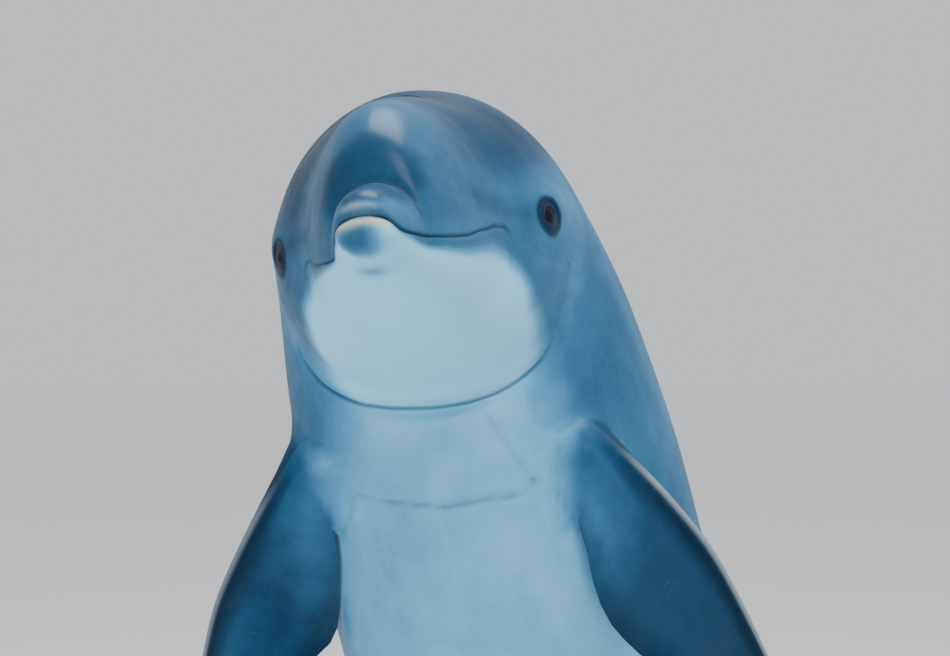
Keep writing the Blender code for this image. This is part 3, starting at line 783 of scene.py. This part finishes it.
def pressFold(line, depth, width, roll, rollWidth, shade):
    # the fold's line on the skin, in even steps
    knots = np.linspace(0, len(line) - 1, 30 * (len(line) - 1))
    lineS, lineAngle = (curve([(k, p[i]) for k, p in enumerate(line)], knots) for i in (0, 1))
    track = place(straightSkin(lineS, np.radians(lineAngle)))
    track = np.array([skinTree.find_nearest(Vector(p))[0] for p in track])
    length = np.concatenate([[0], np.cumsum(np.linalg.norm(np.diff(track, axis=0), axis=1))])
    even = np.linspace(0, length[-1], max(8, int(length[-1] / .003)))
    track = np.stack([np.interp(even, length, track[:, k]) for k in range(3)], -1)
    lineS = np.interp(even, length, lineS)
    # the points near it: their distance from it, and how far along it they are
    margin = max(5 * width, 3 * rollWidth)
    index = np.nonzero(np.all((where > track.min(0) - margin) & (where < track.max(0) + margin),
                              axis=1) & (skinS > .15))[0]
    spanning = np.diff(track, axis=0)
    offset = where[index][:, None] - track[:-1]
    t = np.clip(np.sum(offset * spanning, -1) / np.sum(spanning**2, -1), 0, 1)
    gap = np.linalg.norm(offset - t[..., None] * spanning, axis=-1)
    nearest = gap.argmin(1)
    pick = (np.arange(len(index)), nearest)
    gap, share = gap[pick], (nearest + t[pick]) / len(spanning)
    strength = hump(0, .22, .78, 1, share)
    ahead = np.interp(share, np.linspace(0, 1, len(lineS)), lineS) > skinS[index]
    signed = np.where(ahead, gap, -gap)
    press = -depth * bell(gap, width)
    press += roll * bell(signed - rollWidth * 1.05, rollWidth) * (signed > 0)
    press += .22 * depth * bell(signed + 2.6 * width, 1.5 * width)
    move[index] += strength * press
    creased[index] = np.maximum(creased[index], strength * bell(gap, width) * shade)


for fold in folds.values():
    pressFold(*fold)
where += readNumbers(skinMesh.vertex_normals, "vector", 3) * move[:, None]


def heldBack(values, limit, softness):
    # eases values that come near a limit, so that none passes it
    over = values - (limit - softness)
    return np.where(over > 0, limit - softness + softness * np.tanh(over / softness), values)


# the solids' facets cut a little inside the true curve at the beak's tip and the head's top
where[:, 2] = heldBack(where[:, 2], cadBox[1][2], .01)
where[:, 1] = -heldBack(-where[:, 1], -cadBox[0][1], .006)
movePoints(skinMesh, where)
print("folds pressed")

# markings, kept as numbers on the skin's points
markings = {
    # elevation of the edge of the pale belly, and of the edge of the dark back, along s
    "belly": [(0, -16), (.08, -14), (.2, -12), (.26, -14), (.31, -29), (.37, -44), (.48, -55),
              (.6, -53), (.72, -46), (.85, -35), (1.2, -33), (1.5, -32), (1.8, -42), (2.1, -70),
              (2.4, -86)],
    "back": [(0, 40), (.08, 34), (.13, 30), (.2, 26), (.33, 24), (.5, 33), (.8, 33), (1.1, 28),
             (1.5, 24), (1.9, 8), (2.2, -12), (2.47, -24)],
    # the belly's tone along s; its darkening over the neck and chest is painted shade of the head
    "paleAndChestShade": [(0, .03), (.4, .03), (.46, .15), (.6, .24), (.9, .25), (1.3, .17), (2.4, .06)],
    # what the sides, and then the back, add to the pale tone
    "side": [(0, .52), (.1, .62), (.3, .61), (.45, .44), (.6, .38), (.9, .35), (2.4, .48)],
    "cape": [(0, .26), (.09, .12), (.13, .03), (.18, .06), (.26, .17), (.38, .32), (2.4, .36)],
    # round the eye: the animal's dark patch with painted shade of the lids
    "eyePatchAndLidShade": (.01, .0215, 1.05),       # fully dark up to, faded at, and how dark
    # what these places add to the tone; the beak's root, the chin's patch and the lip get painted
    # shade, in the crease above the beak, on the front of the lower jaw's tip and under the upper
    # beak's tip
    "beakTop": -.05, "beakRootShade": .07, "chinSpot": .26, "chinTipShade": .56, "lip": .16,
    "eyeBand": .09, "tailEnd": .78,
    "eyeBandLine": [(.1, .006), (.2, -.006), (.325, -.015)],
    # half the width of the belly's edge on the head and on the body, and of the back's edge;
    # how far the belly's edge drops on the left of the throat
    "bellySoft": (8, 16), "backSoft": 14, "throatDrop": 6,
    # the fins' tones: the plain one, and what their parts add to it
    # on a flipper, the paler underside near the rear of its root is partly its own and partly
    # painted highlight
    "flipper": {"plain": .62, "outward": .12, "front": .24, "rear": .16, "tip": .12,
                "under": -.1, "upper": .12, "left": .05},
    "fluke": {"plain": .72, "front": .12, "rear": .1, "upper": .1, "under": -.32},
    "dorsal": {"plain": .84, "front": .06, "rear": .05},
    # how dark the painted shade is in the creases beside the mouth's and on the chin, and how bare
    # each lip is at the tip, the lower lip's top edge with painted highlight
    "beakShade": .75, "foldShade": .8, "chinShade": .34,
    "lowerBareAndHighlight": .9, "upperBare": .26,
}
straightPlace = straightSkin(skinS, skinAngle)
# the lids' points only know their rim's place, and the head is straight: turn them back
isLid = note["kind"] == kinds["lid"]
straightPlace[isLid] = (where[isLid] - ground) @ turned(np.array(.2))
x = straightPlace[:, 0]
lidS = skinS[isLid] = straightPlace[isLid, 1]
mouth = curve(body["mouth"], lidS)
lift = straightPlace[isLid, 2] - mouth
reach = np.where(lift > 0, curve(body["back"], lidS) - mouth, mouth - curve(body["belly"], lidS))
skinAngle[isLid] = np.arcsin(np.clip(
    np.sign(lift) * np.abs(lift / reach) ** (roundness(lidS, lift) / 2), -1, 1))
skinAngle[isLid & (x < 0)] = np.pi - skinAngle[isLid & (x < 0)]
# at the blunt tip all angles meet, so height counts there
fromTip = np.degrees(np.arcsin(np.clip(
    (straightPlace[:, 2] - curve(body["mouth"], 0)) / .016, -1, 1)))
atTip = 1 - ramp(.003, .01, skinS)
level = elevation(skinAngle) * (1 - atTip) + fromTip * atTip
# the pale throat reaches a little less far up on the left
bellyEdge = curve(markings["belly"], skinS) - (
    markings["throatDrop"] * bell(skinS - .312, .045) * (x > 0))
headSoft, trunkSoft = markings["bellySoft"]
bellySoft = headSoft + (trunkSoft - headSoft) * ramp(.28, .5, skinS)
backEdge, backSoft = curve(markings["back"], skinS), markings["backSoft"]
tone = (curve(markings["paleAndChestShade"], skinS)
        + curve(markings["side"], skinS) * ramp(bellyEdge - bellySoft, bellyEdge + bellySoft, level)
        + curve(markings["cape"], skinS) * ramp(backEdge - backSoft, backEdge + backSoft, level))
# the beak: greyer upper side, painted shade where it meets the melon and under the upper beak's
# tip, a pale tip, painted shade on the front of the lower jaw's tip and a smudge further back under
# the chin
fromLip = straightPlace[:, 2] - lipLine(skinS, x)
# where painted shade lies on the front of the lower jaw's tip; it also darkens with the creases
# below
chin = (1 - ramp(.05, 1.4, np.hypot((x + .0055) / .0185, (fromLip + .0115) / .014))) * (
    1 - ramp(.014, .036, skinS)) * ramp(-.002, -.005, fromLip)
tone += (markings["beakTop"] * (1 - ramp(.07, .11, skinS)) * ramp(6, 34, level)
         + markings["beakRootShade"] * bell(skinS - .102, .012) * ramp(4, 40, level)
         + markings["chinSpot"] * bell(skinS - .052, .012) * bell(x + .003, .012) * (level < -30)
         + markings["chinTipShade"] * chin
         + markings["lip"] * bell(skinS - .002, .01) * bell(fromLip - .003, .004))
# eyes: a dark patch, partly the animal's own and partly painted shade of the lids, and a faint band
# from it towards the beak
fromEye = np.hypot((skinS - eye["s"]) / 1.2, straightPlace[:, 2] - eye["z"])
near, far, dark = markings["eyePatchAndLidShade"]
fromBand = straightPlace[:, 2] - curve(markings["eyeBandLine"], skinS)
tone += (dark * (1 - ramp(near, far, fromEye))
         + markings["eyeBand"] * bell(fromBand, .011) * hump(.12, .2, .31, .33, skinS))
# dark right round where the body ends between the flukes
atEnd = ramp(2.36, 2.44, skinS)
bodyTone = np.clip(tone * (1 - atEnd) + markings["tailEnd"] * atEnd, 0, 1)
out, chord, upper = note["out"], note["chord"], note["upper"]
isFlipper, isDorsal, isFluke = [note["kind"] == kinds[k] for k in ("flipper", "dorsal", "fluke")]
front = 1 - ramp(0, .2, chord)
rear = ramp(.62, 1, chord)
own = markings["flipper"]
flipperTone = (own["plain"] + own["outward"] * ramp(.03, .13, out)
               + own["front"] * front * ramp(0, .06, out)
               + own["rear"] * rear * ramp(.03, .12, out) + own["tip"] * ramp(.16, .3, out)
               # paler underside near the rear of the root: partly the flipper's own, partly painted
               # highlight
               + own["under"] * bell(out - .05, .05) * bell(chord - .62, .25) * (upper < 0)
               + own["upper"] * (upper > 0) + own["left"] * (x > 0))
own = markings["fluke"]
flukeTone = (own["plain"] + own["front"] * front + own["rear"] * rear
             + own["upper"] * (upper > 0)
             + own["under"] * (bell(chord - .45, .3) * bell(out - .12, .12) * (upper < 0)))
own = markings["dorsal"]
dorsalTone = own["plain"] + own["front"] * front + own["rear"] * rear
rooted = ramp(.12 + .38 * (1 - ramp(.05, .4, chord)), 1, note["weight"])
blend = np.where(isFlipper, rooted, note["weight"]) * np.select(
    [isFlipper, isDorsal, isFluke],
    [np.ones(len(out)), ramp(-.02, .06, out), ramp(.01, .09, out)], 0)
finTone = np.select([isFlipper, isDorsal, isFluke], [flipperTone, dorsalTone, flukeTone], 0)
tone = np.clip(bodyTone * (1 - blend) + finTone * blend, 0, 1)
# painted shade in the mouth line, the creases, the blowhole, the slits, the ears and on the chin
mouthLine = (1 - ramp(*relief["mouthEnd"], skinS)) * bell(fromLip, .0011) * (isGrid | isTip)
beakLine = bell(skinS - relief["beakCrease"], .003) * ramp(8, 34, level) * isGrid
holeLine = (bell(fromBlowhole(skinS, x), .0016) * ramp(60, 70, level)
            * (1 - ramp(.017, .022, np.abs(x)))) * isGrid
navel, slit, vent = (skinS - opening[0] for opening in relief["openings"].values())
slitLine = ramp(-60, -75, level) * bell(x, .0022) * isGrid * (
    1 - ramp(.045, .055, np.abs(slit)) + bell(navel, .009) + bell(vent, .006))
creaseShade = np.clip(np.max([mouthLine, markings["beakShade"] * beakLine, holeLine, slitLine,
                         bell(fromEar(skinS, level), .0016), markings["foldShade"] * creased,
                         markings["chinShade"] * chin * isBody], axis=0), 0, 1)
# pale bare skin at the lips' tip; on the lower lip's top edge it is partly painted highlight of
# light from above
bareAndHighlight = (markings["lowerBareAndHighlight"] * bell(skinS - .002, .01) * bell(fromLip + .0034, .0026)
        + markings["upperBare"] * bell(skinS - .004, .008) * bell(fromLip - .0085, .004)
        * bell(x + .003, .01)).clip(0, 1) * isGrid
# a pale line along the flippers' front edge: partly their own pale edge, partly painted highlight
paleEdgeAndHighlight = bell(chord, .012) * ramp(.03, .1, out) * isFlipper

outward = note["weight"] * out * (isFlipper | isDorsal | isFluke)
flow = straightPlace + np.stack([np.cos(skinAngle), 0 * skinS, np.sin(skinAngle)],
                                -1) * outward[:, None]
for name, values in {"tone": tone, "creaseShade": creaseShade, "bareAndHighlight": bareAndHighlight, "paleEdgeAndHighlight": paleEdgeAndHighlight,
                     "flow": flow}.items():
    writeNumbers(skinMesh, name, values)
for name in noteNames:
    skinMesh.attributes.remove(skinMesh.attributes[name])
print("markings laid")

# shader helpers


def fill(tree, made, inputs):
    # a node's inputs, each linked to a socket or set to a value
    for name, value in inputs.items():
        if isinstance(value, bpy.types.NodeSocket):
            tree.links.new(value, made.inputs[name])
        else:
            made.inputs[name].default_value = value


def addNode(tree, kind, inputs=None, **settings):
    made = tree.nodes.new("ShaderNode" + kind)
    for name, value in settings.items():
        setattr(made, name, value)
    fill(tree, made, inputs or {})
    return made.outputs


def doMath(tree, operation, *values, clamp=False):
    return addNode(tree, "Math", dict(enumerate(values)), operation=operation,
                   use_clamp=clamp)[0]


def times(tree, a, b):
    return doMath(tree, "MULTIPLY", a, b)


def timesPlus(tree, a, b, c, clamp=False):
    return doMath(tree, "MULTIPLY_ADD", a, b, c, clamp=clamp)


def mixColour(tree, share, a, b):
    b = b if isinstance(b, bpy.types.NodeSocket) else (*b, 1)
    return addNode(tree, "Mix", {0: share, 6: a, 7: b}, data_type="RGBA")[2]


def mapRange(tree, value, low, high):
    return addNode(tree, "MapRange", {"Value": value, "From Min": low, "From Max": high})[0]


def noise(tree, place, scale, detail=3, rough=.5, distortion=0):
    return addNode(tree, "TexNoise", {"Vector": place, "Scale": scale, "Detail": detail,
                                      "Roughness": rough, "Distortion": distortion})[0]


def bands(tree, place, direction, scale, distortion, detailScale):
    return addNode(tree, "TexWave", {"Vector": place, "Scale": scale, "Distortion": distortion,
                                     "Detail": 2, "Detail Scale": detailScale},
                   wave_type="BANDS", bands_direction=direction)[1]


def stretched(tree, place, scale, turn=(0, 0, 0)):
    return addNode(tree, "Mapping", {"Vector": place, "Scale": scale, "Rotation": turn})[0]


def colourRamp(tree, value, *stops):
    socket = addNode(tree, "ValToRGB", {"Fac": value})[0]
    elements = socket.node.color_ramp.elements
    while len(elements) < len(stops):
        elements.new(.5)
    for element, (spot, colour) in zip(elements, stops):
        element.position = spot
        element.color = (*colour, 1)
    return socket


def shades(tree, value, colour, dark, light):
    # a colour darkened and lightened: each is where on the value it stands and how strong
    return colourRamp(tree, value, *((spot, [v * k for v in colour]) for spot, k in (dark, light)))


def bump(tree, height, strength, distance):
    return addNode(tree, "Bump", {"Strength": strength, "Distance": distance,
                                  "Height": height})[0]


def ownNumber(tree, name, output="Fac"):
    return addNode(tree, "Attribute", attribute_name=name)[output]


def newGroup(name, output, vectors, numbers):
    # a shader node group; gives it, what it is given, and its one result
    tree = bpy.data.node_groups.new(name, "ShaderNodeTree")
    for socket in vectors:
        tree.interface.new_socket(socket, in_out="INPUT", socket_type="NodeSocketVector")
    for socket, value in numbers.items():
        tree.interface.new_socket(socket, in_out="INPUT",
                                  socket_type="NodeSocketFloat").default_value = value
    tree.interface.new_socket(output, in_out="OUTPUT", socket_type="NodeSocketFloat")
    return (tree, tree.nodes.new("NodeGroupInput").outputs,
            tree.nodes.new("NodeGroupOutput").inputs[0])


def useGroup(tree, group, inputs):
    return addNode(tree, "Group", inputs, node_tree=group)[0]


def newMaterial(name):
    material = bpy.data.materials.new(name)
    material.use_nodes = True
    return material, material.node_tree, material.node_tree.nodes["Principled BSDF"]


# cloudy variation at three sizes, from -1 to 1
cloudy, given, result = newGroup("cloudyTones", "Value", ["Place"], {"Size": 8.0})
large = noise(cloudy, given["Place"], given["Size"], 3, .55, .4)
middle = noise(cloudy, given["Place"], times(cloudy, given["Size"], 5.3), 3, .6)
small = noise(cloudy, given["Place"], times(cloudy, given["Size"], 34.0), 2, .6)
total = timesPlus(cloudy, small, .22, timesPlus(cloudy, middle, .45, large))
cloudy.links.new(timesPlus(cloudy, total, 2.4, -2.0), result)

# sparse hair-fine scratches, in sets that run side by side
scratched, given, result = newGroup("fineScratches", "Mask", ["Place", "Turn"],
                                    {"Density": 60.0, "Cover": .58})
turnedPlace = stretched(scratched, given["Place"], (1, 1, 1), given["Turn"])
thin = mapRange(scratched, bands(scratched, turnedPlace, "X", given["Density"], 2.6, .35),
                .955, .995)
patches = noise(scratched, stretched(scratched, turnedPlace, (26, 9, 26)), 1, 2, .5)
patches = mapRange(scratched, patches, given["Cover"],
                   doMath(scratched, "ADD", given["Cover"], .05))
scratched.links.new(times(scratched, thin, patches), result)

# the skin's material
skinLook = {
    # colours of the tones from pale to dark
    "tones": [(0, (.29, .64, .84)), (.12, (.21, .55, .775)), (.34, (.076, .285, .475)),
              (.56, (.032, .138, .258)), (.78, (.014, .056, .113)), (1, (.004, .019, .041))],
    # colours of the bare lips, which also paints the lower lip's highlight, of the creases' painted
    # shade, and of the scratches, which also paints the flippers' edge highlight
    "bareAndHighlight": (.56, .57, .46), "creaseShade": (.02, .045, .066), "scratch": (.5, .6, .66),
    # how much of the scratches, the flippers' pale edge with its painted highlight, and the
    # creases' painted shade shows
    "scratchShare": .055, "edgeShare": .32, "creaseShare": .82,
    "cloudSize": 7.0, "cloudShare": .3, "streakStretch": (34, 5, 34), "streakShare": 1.5,
    # two sets of scratches: turn, density, how much stays free of them
    "scratches": [((.3, .2, .5), 75.0, .65), ((1.1, -.4, -.9), 48.0, .665)],
    # the plain roughness, and what clouds, streaks and scratches add
    "roughness": .36, "cloudRoughness": .05, "streakRoughness": .1, "scratchRoughness": .12,
    # size and height of soft dents, fine ridges across the body and pores, in bumpHeight
    "dents": (24, .9), "ridges": (95, .012), "pores": (520, .05), "scratchDepth": .06,
    "bumpStrength": .5, "bumpHeight": .0012,
    "shader": {"Coat Weight": .14, "Coat Roughness": .23, "Coat IOR": 1.36, "IOR": 1.42,
               "Specular IOR Level": .02},
}
skinMaterial, tree, shader = newMaterial("wetSkin")
objectPlace = addNode(tree, "TexCoord")["Object"]
flowPlace, toneValue = ownNumber(tree, "flow", "Vector"), ownNumber(tree, "tone")
clouds = useGroup(tree, cloudy, {"Place": objectPlace, "Size": skinLook["cloudSize"]})
streaks = noise(tree, stretched(tree, flowPlace, skinLook["streakStretch"]), 1, 4, .6, .5)
# clouds and streaks show most where the tones change into each other
change = times(tree, toneValue, doMath(tree, "SUBTRACT", 1.15, toneValue))
amount = timesPlus(tree, change, skinLook["cloudShare"], .018)
varied = timesPlus(tree, clouds, amount, toneValue)
streaky = times(tree, doMath(tree, "SUBTRACT", streaks, .5), amount)
varied = timesPlus(tree, streaky, skinLook["streakShare"], varied, clamp=True)
# no scratches on the pale skin and none on the face
scratchMask = doMath(tree, "MAXIMUM", *(
    useGroup(tree, scratched, {"Place": flowPlace, "Turn": turn, "Density": density,
                               "Cover": cover})
    for turn, density, cover in skinLook["scratches"]))
scratchMask = times(tree, scratchMask, mapRange(tree, toneValue, .4, .62))
alongBody = addNode(tree, "SeparateXYZ", {0: flowPlace})[1]
scratchMask = times(tree, scratchMask, mapRange(tree, alongBody, .3, .5))
colour = colourRamp(tree, varied, *skinLook["tones"])
# over the tones: the bare lips with the lower lip's painted highlight, the flippers' painted edge
# highlight and the creases' painted shade
for mask, share, over in ((scratchMask, skinLook["scratchShare"], "scratch"),
                          (ownNumber(tree, "bareAndHighlight"), 1, "bareAndHighlight"),
                          (ownNumber(tree, "paleEdgeAndHighlight"), skinLook["edgeShare"], "scratch"),
                          (ownNumber(tree, "creaseShade"), skinLook["creaseShare"], "creaseShade")):
    colour = mixColour(tree, mask if share == 1 else times(tree, mask, share), colour,
                       skinLook[over])
roughness = skinLook["roughness"]
for mask, name in ((clouds, "cloud"), (streaks, "streak"), (scratchMask, "scratch")):
    roughness = timesPlus(tree, mask, skinLook[name + "Roughness"], roughness)
size, rise = skinLook["dents"]
height = times(tree, noise(tree, flowPlace, size, 3, .5), rise)
size, rise = skinLook["ridges"]
height = timesPlus(tree, bands(tree, flowPlace, "Y", size, 3.0, .6), rise, height)
size, rise = skinLook["pores"]
height = timesPlus(tree, noise(tree, objectPlace, size, 2, .5), rise, height)
height = timesPlus(tree, scratchMask, -skinLook["scratchDepth"], height)
fill(tree, shader, {"Base Color": colour, "Roughness": roughness,
                    "Normal": bump(tree, height, skinLook["bumpStrength"],
                                   skinLook["bumpHeight"]), **skinLook["shader"]})
skinMesh.materials.append(skinMaterial)
skinMesh.polygons.foreach_set("use_smooth", [True] * len(skinMesh.polygons))
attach(skinObject, "root")
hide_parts(*body["flesh"])
print("skin finished")

# eyeballs
eyeLook = {
    "iris": .0076, "pupil": (.004, .0028), "cornea": .0006, "clearance": .0002,
    "black": (.002, .002, .003),
    "irisTones": [(.25, (.002, .002, .002)), (.55, (.007, .004, .003)), (.8, (.016, .009, .006))],
    "whiteTones": [(.3, (.005, .005, .007)), (.8, (.014, .013, .015))],
    "shader": {"Roughness": .3, "Coat Weight": .12, "Coat Roughness": .03, "IOR": 1.38,
               "Specular IOR Level": .02},
}
eyeMaterial, tree, shader = newMaterial("wetEye")
inEye = ownNumber(tree, "inEye", "Vector")
# distance from the middle of the eye, and the same as a share of the pupil's size
radius, pupilRadius = (
    addNode(tree, "VectorMath", {0: stretched(tree, inEye, scale)}, operation="LENGTH")["Value"]
    for scale in ((0, 1, 1), (0, 1 / eyeLook["pupil"][0], 1 / eyeLook["pupil"][1])))
alongEye, upEye = addNode(tree, "SeparateXYZ", {0: inEye})[1:]
spokePlace = addNode(tree, "CombineXYZ", {
    0: times(tree, doMath(tree, "ARCTAN2", upEye, alongEye), 5.0),
    1: times(tree, radius, 160.0)})[0]
threads = noise(tree, spokePlace, 2.2, 4, .65)
iris = colourRamp(tree, threads, *eyeLook["irisTones"])
white = colourRamp(tree, noise(tree, inEye, 260, 3, .6), *eyeLook["whiteTones"])
inIris = mapRange(tree, radius, eyeLook["iris"], eyeLook["iris"] * .88)
colour = mixColour(tree, inIris, white, iris)
colour = mixColour(tree, mapRange(tree, pupilRadius, 1.06, .92), colour, eyeLook["black"])
fill(tree, shader, {"Base Color": colour, "Normal": bump(tree, threads, .25, .0002),
                    **eyeLook["shader"]})
for name, side in eye["sides"].items():
    centre, seat = eyeSeat(side)
    bpy.ops.object.select_all(action="DESELECT")
    bpy.ops.mesh.primitive_uv_sphere_add(segments=64, ring_count=40, radius=1,
                                         rotation=(0, math.radians(90), 0))
    ball = bpy.context.object
    ball.name = "eyeball_" + name
    bpy.ops.object.transform_apply(location=True, rotation=True, scale=True)
    mesh = ball.data
    local = readNumbers(mesh.vertices, "co", 3)
    # the clear front stands a little proud of the ball
    proud = bell(np.hypot(local[:, 1], local[:, 2]), .42) * (local[:, 0] > 0)
    local *= eye["radii"] - eyeLook["clearance"]
    local[:, 0] += proud * eyeLook["cornea"]
    writeNumbers(mesh, "inEye", local)
    movePoints(mesh, centre + local @ seat.T)
    bpy.ops.object.mode_set(mode="EDIT")
    bpy.ops.mesh.select_all(action="SELECT")
    bpy.ops.mesh.normals_make_consistent(inside=False)
    bpy.ops.object.mode_set(mode="OBJECT")
    bpy.ops.object.shade_smooth()
    mesh.materials.append(eyeMaterial)
    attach(ball, "root")
    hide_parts("eye_" + name)
print("eyes set")

# the stand; a finish has its grain as scale, detail and roughness, the grain's value and the
# colour's strength where it is dark and light, its bump as strength and distance, its smears as
# scale, share and colour, its wear as amount and colour, and its roughness as the plain one and
# what the grain and the smears add
stand = {
    "screwCircle": .0415, "screwHead": .0042, "screwHeight": .0032, "screwKey": .0022,
    "screwBevel": .0006, "flangeTop": .0433, "screwSink": .0002,
    "finishes": {
        "satinLacquer": {
            "colour": (.56, .572, .578), "grain": (900, 2, .5),
            "dark": (.35, .965), "light": (.65, 1.03), "bump": (.35, .0003),
            "smear": (6.0, .1, (.56, .57, .58)), "wear": (.6, (.8, .81, .82)),
            "roughness": (.36, 0, .12), "dents": (260, 2, .4),
            "shader": {"Coat Weight": .25, "Coat Roughness": .22}},
        "brushedSteel": {
            "colour": (.5, .51, .52), "stretch": (60, 60, 2600), "grain": (1, 3, .6),
            "dark": (.3, .86), "light": (.7, 1.1), "bump": (.25, .0001),
            "smear": (22.0, .22, (.42, .42, .42)), "wear": (.5, (.78, .79, .8)),
            "roughness": (.2, .18, .14), "shader": {"Metallic": 1.0}},
        "mattRubber": {
            "colour": (.028, .028, .03), "grain": (1400, 2, .6),
            "dark": (.3, .7), "light": (.7, 1.6), "bump": (.4, .0002),
            "smear": (30.0, .16, (.11, .11, .11)), "roughness": (.72, 0, .1),
            "shader": {"Specular IOR Level": .35}}},
}

# smears and dust that lie over any finish, from 0 to 1
smears, given, result = newGroup("handledSmears", "Mask", ["Place"], {"Size": 14.0})
smears.links.new(mapRange(smears, noise(smears, given["Place"], given["Size"], 4, .62, 1.1),
                          .42, .74), result)

# brighter along edges that get touched
worn, given, result = newGroup("edgeWear", "Mask", ["Place"], {"Amount": 1.0})
edges = mapRange(worn, addNode(worn, "NewGeometry")["Pointiness"], .53, .6)
broken = mapRange(worn, noise(worn, given["Place"], 90, 3, .6), .38, .62)
worn.links.new(times(worn, times(worn, edges, broken), given["Amount"]), result)


def standFinish(name, look):
    material, tree, shader = newMaterial(name)
    objectPlace = addNode(tree, "TexCoord")["Object"]
    smearSize, smearShare, smearColour = look["smear"]
    smear = useGroup(tree, smears, {"Place": objectPlace, "Size": smearSize})
    grainPlace = stretched(tree, objectPlace, look.get("stretch", (1, 1, 1)))
    grain = noise(tree, grainPlace, *look["grain"])
    colour = shades(tree, grain, look["colour"], look["dark"], look["light"])
    colour = mixColour(tree, times(tree, smear, smearShare), colour, smearColour)
    if "wear" in look:
        wear = useGroup(tree, worn, {"Place": objectPlace, "Amount": look["wear"][0]})
        colour = mixColour(tree, wear, colour, look["wear"][1])
    base, fromGrain, fromSmear = look["roughness"]
    roughness = timesPlus(tree, smear, fromSmear, timesPlus(tree, grain, fromGrain, base))
    height = noise(tree, objectPlace, *look["dents"]) if "dents" in look else grain
    fill(tree, shader, {"Base Color": colour, "Roughness": roughness,
                        "Normal": bump(tree, height, *look["bump"]), **look["shader"]})
    return material


lacquer, steel, rubber = (standFinish(*finish) for finish in stand["finishes"].items())
for name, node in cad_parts.items():
    if name.startswith("stand_"):
        node.data.materials.clear()
        node.data.materials.append(
            lacquer if "base" in name else rubber if "saddle" in name else steel)
# cap screws: one is shaped, the rest are copies
bpy.ops.object.select_all(action="DESELECT")
bpy.ops.mesh.primitive_cylinder_add(vertices=24, radius=stand["screwHead"],
                                    depth=stand["screwHeight"],
                                    location=(0, 0, stand["screwHeight"] / 2))
screw = bpy.context.object
bpy.ops.object.transform_apply(location=True, rotation=True, scale=True)
bpy.ops.object.mode_set(mode="EDIT")
bpy.ops.mesh.select_mode(type="FACE")
bm = bmesh.from_edit_mesh(screw.data)
for face in bm.faces:
    face.select_set(face.normal.z > .9)
bmesh.update_edit_mesh(screw.data)
bpy.ops.mesh.inset(thickness=stand["screwHead"] - stand["screwKey"])
bm = bmesh.from_edit_mesh(screw.data)
for vert in bm.verts:
    if vert.select:            # round opening to a six-sided one
        turn = math.atan2(vert.co.y, vert.co.x) % math.radians(60) - math.radians(30)
        vert.co.xy = vert.co.xy.normalized() * (
            stand["screwKey"] * math.cos(math.radians(30)) / math.cos(turn))
bmesh.update_edit_mesh(screw.data)
bpy.ops.mesh.extrude_region_move(
    TRANSFORM_OT_translate={"value": (0, 0, -stand["screwHeight"] * .6)})
bpy.ops.mesh.select_mode(type="EDGE")
bm = bmesh.from_edit_mesh(screw.data)
for edge in bm.edges:
    edge.select_set(all(v.co.z > stand["screwHeight"] * .9
                        and v.co.xy.length > stand["screwHead"] * .95 for v in edge.verts))
bmesh.update_edit_mesh(screw.data)
bpy.ops.mesh.bevel(offset=stand["screwBevel"], segments=3, affect="EDGES")
bpy.ops.object.mode_set(mode="OBJECT")
bpy.ops.object.shade_smooth_by_angle(angle=math.radians(40))
plainScrew = screw.data
plainScrew.materials.append(steel)
bpy.data.objects.remove(screw)
for name in ("front", "rear"):
    middle = sum(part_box("stand_socket_" + name), Vector()) / 2
    for quarter in range(4):
        turn = math.radians(45 + 90 * quarter)
        copy = addObject(f"stand_screw_{name}_{quarter + 1}", plainScrew.copy())
        spot = (middle.x + stand["screwCircle"] * math.cos(turn),
                middle.y + stand["screwCircle"] * math.sin(turn),
                stand["flangeTop"] - stand["screwSink"])
        copy.data.transform(Matrix.Translation(spot) @ Matrix.Rotation(turn * 1.7, 4, "Z"))
        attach(copy, "root")
print("stand finished")

# view
view = {
    "fromEyes": (.0551, -1.4176, -.0811), "lens": 59.085473, "sensor": 36,      # in millimetres
    "floor": (.965, .97, .975), "air": (.9, .93, .96), "airStrength": .8,
    # lights: place, aim, size, power, colour
    "lights": {
        "keyLight": ((1.2, -2.2, 4.5), (-.2, -.3, 1.4), 2.0, 150, (1, .99, .97)),
        "fillLight": ((-3.2, -3.0, 2.2), (-.2, -.3, 1.2), 3.0, 50, (.93, .97, 1)),
        "topLight": ((.1, 1.0, 4.4), (-.1, .1, 1.2), 2.0, 110, (1, 1, 1))},
}
eyeMiddle = sum(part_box("eye_left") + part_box("eye_right"), Vector()) / 4
camera = addObject("camera", bpy.data.cameras.new("camera"))
camera.location = eyeMiddle + Vector(view["fromEyes"])
camera.rotation_euler = (math.radians(90), 0, 0)
camera.data.sensor_width = view["sensor"]
camera.data.lens = view["lens"]
bpy.context.scene.camera = camera

bpy.ops.object.select_all(action="DESELECT")
bpy.ops.mesh.primitive_circle_add(vertices=96, radius=40, fill_type="NGON", location=(0, 0, 0))
floor = bpy.context.object
floor.name = "floor"
floorMaterial, tree, shader = newMaterial("paleFloor")
faint = noise(tree, addNode(tree, "TexCoord")["Object"], 1.5, 3, .5)
fill(tree, shader, {"Base Color": shades(tree, faint, view["floor"], (.3, .99), (.7, 1.005)),
                    "Roughness": .85, "Specular IOR Level": .2})
floor.data.materials.append(floorMaterial)

for name, (spot, aim, size, power, colour) in view["lights"].items():
    light = addObject(name, bpy.data.lights.new(name, "AREA"))
    light.location = spot
    light.rotation_euler = (Vector(aim) - Vector(spot)).to_track_quat("-Z", "Y").to_euler()
    light.data.shape = "DISK"
    light.data.size, light.data.energy, light.data.color = size, power, colour
    light.visible_glossy = name != "fillLight"   # the fill gives no highlight of its own

world = bpy.data.worlds.new("air")
bpy.context.scene.world = world
world.use_nodes = True
fill(world.node_tree, world.node_tree.nodes["Background"],
     {"Color": (*view["air"], 1), "Strength": view["airStrength"]})
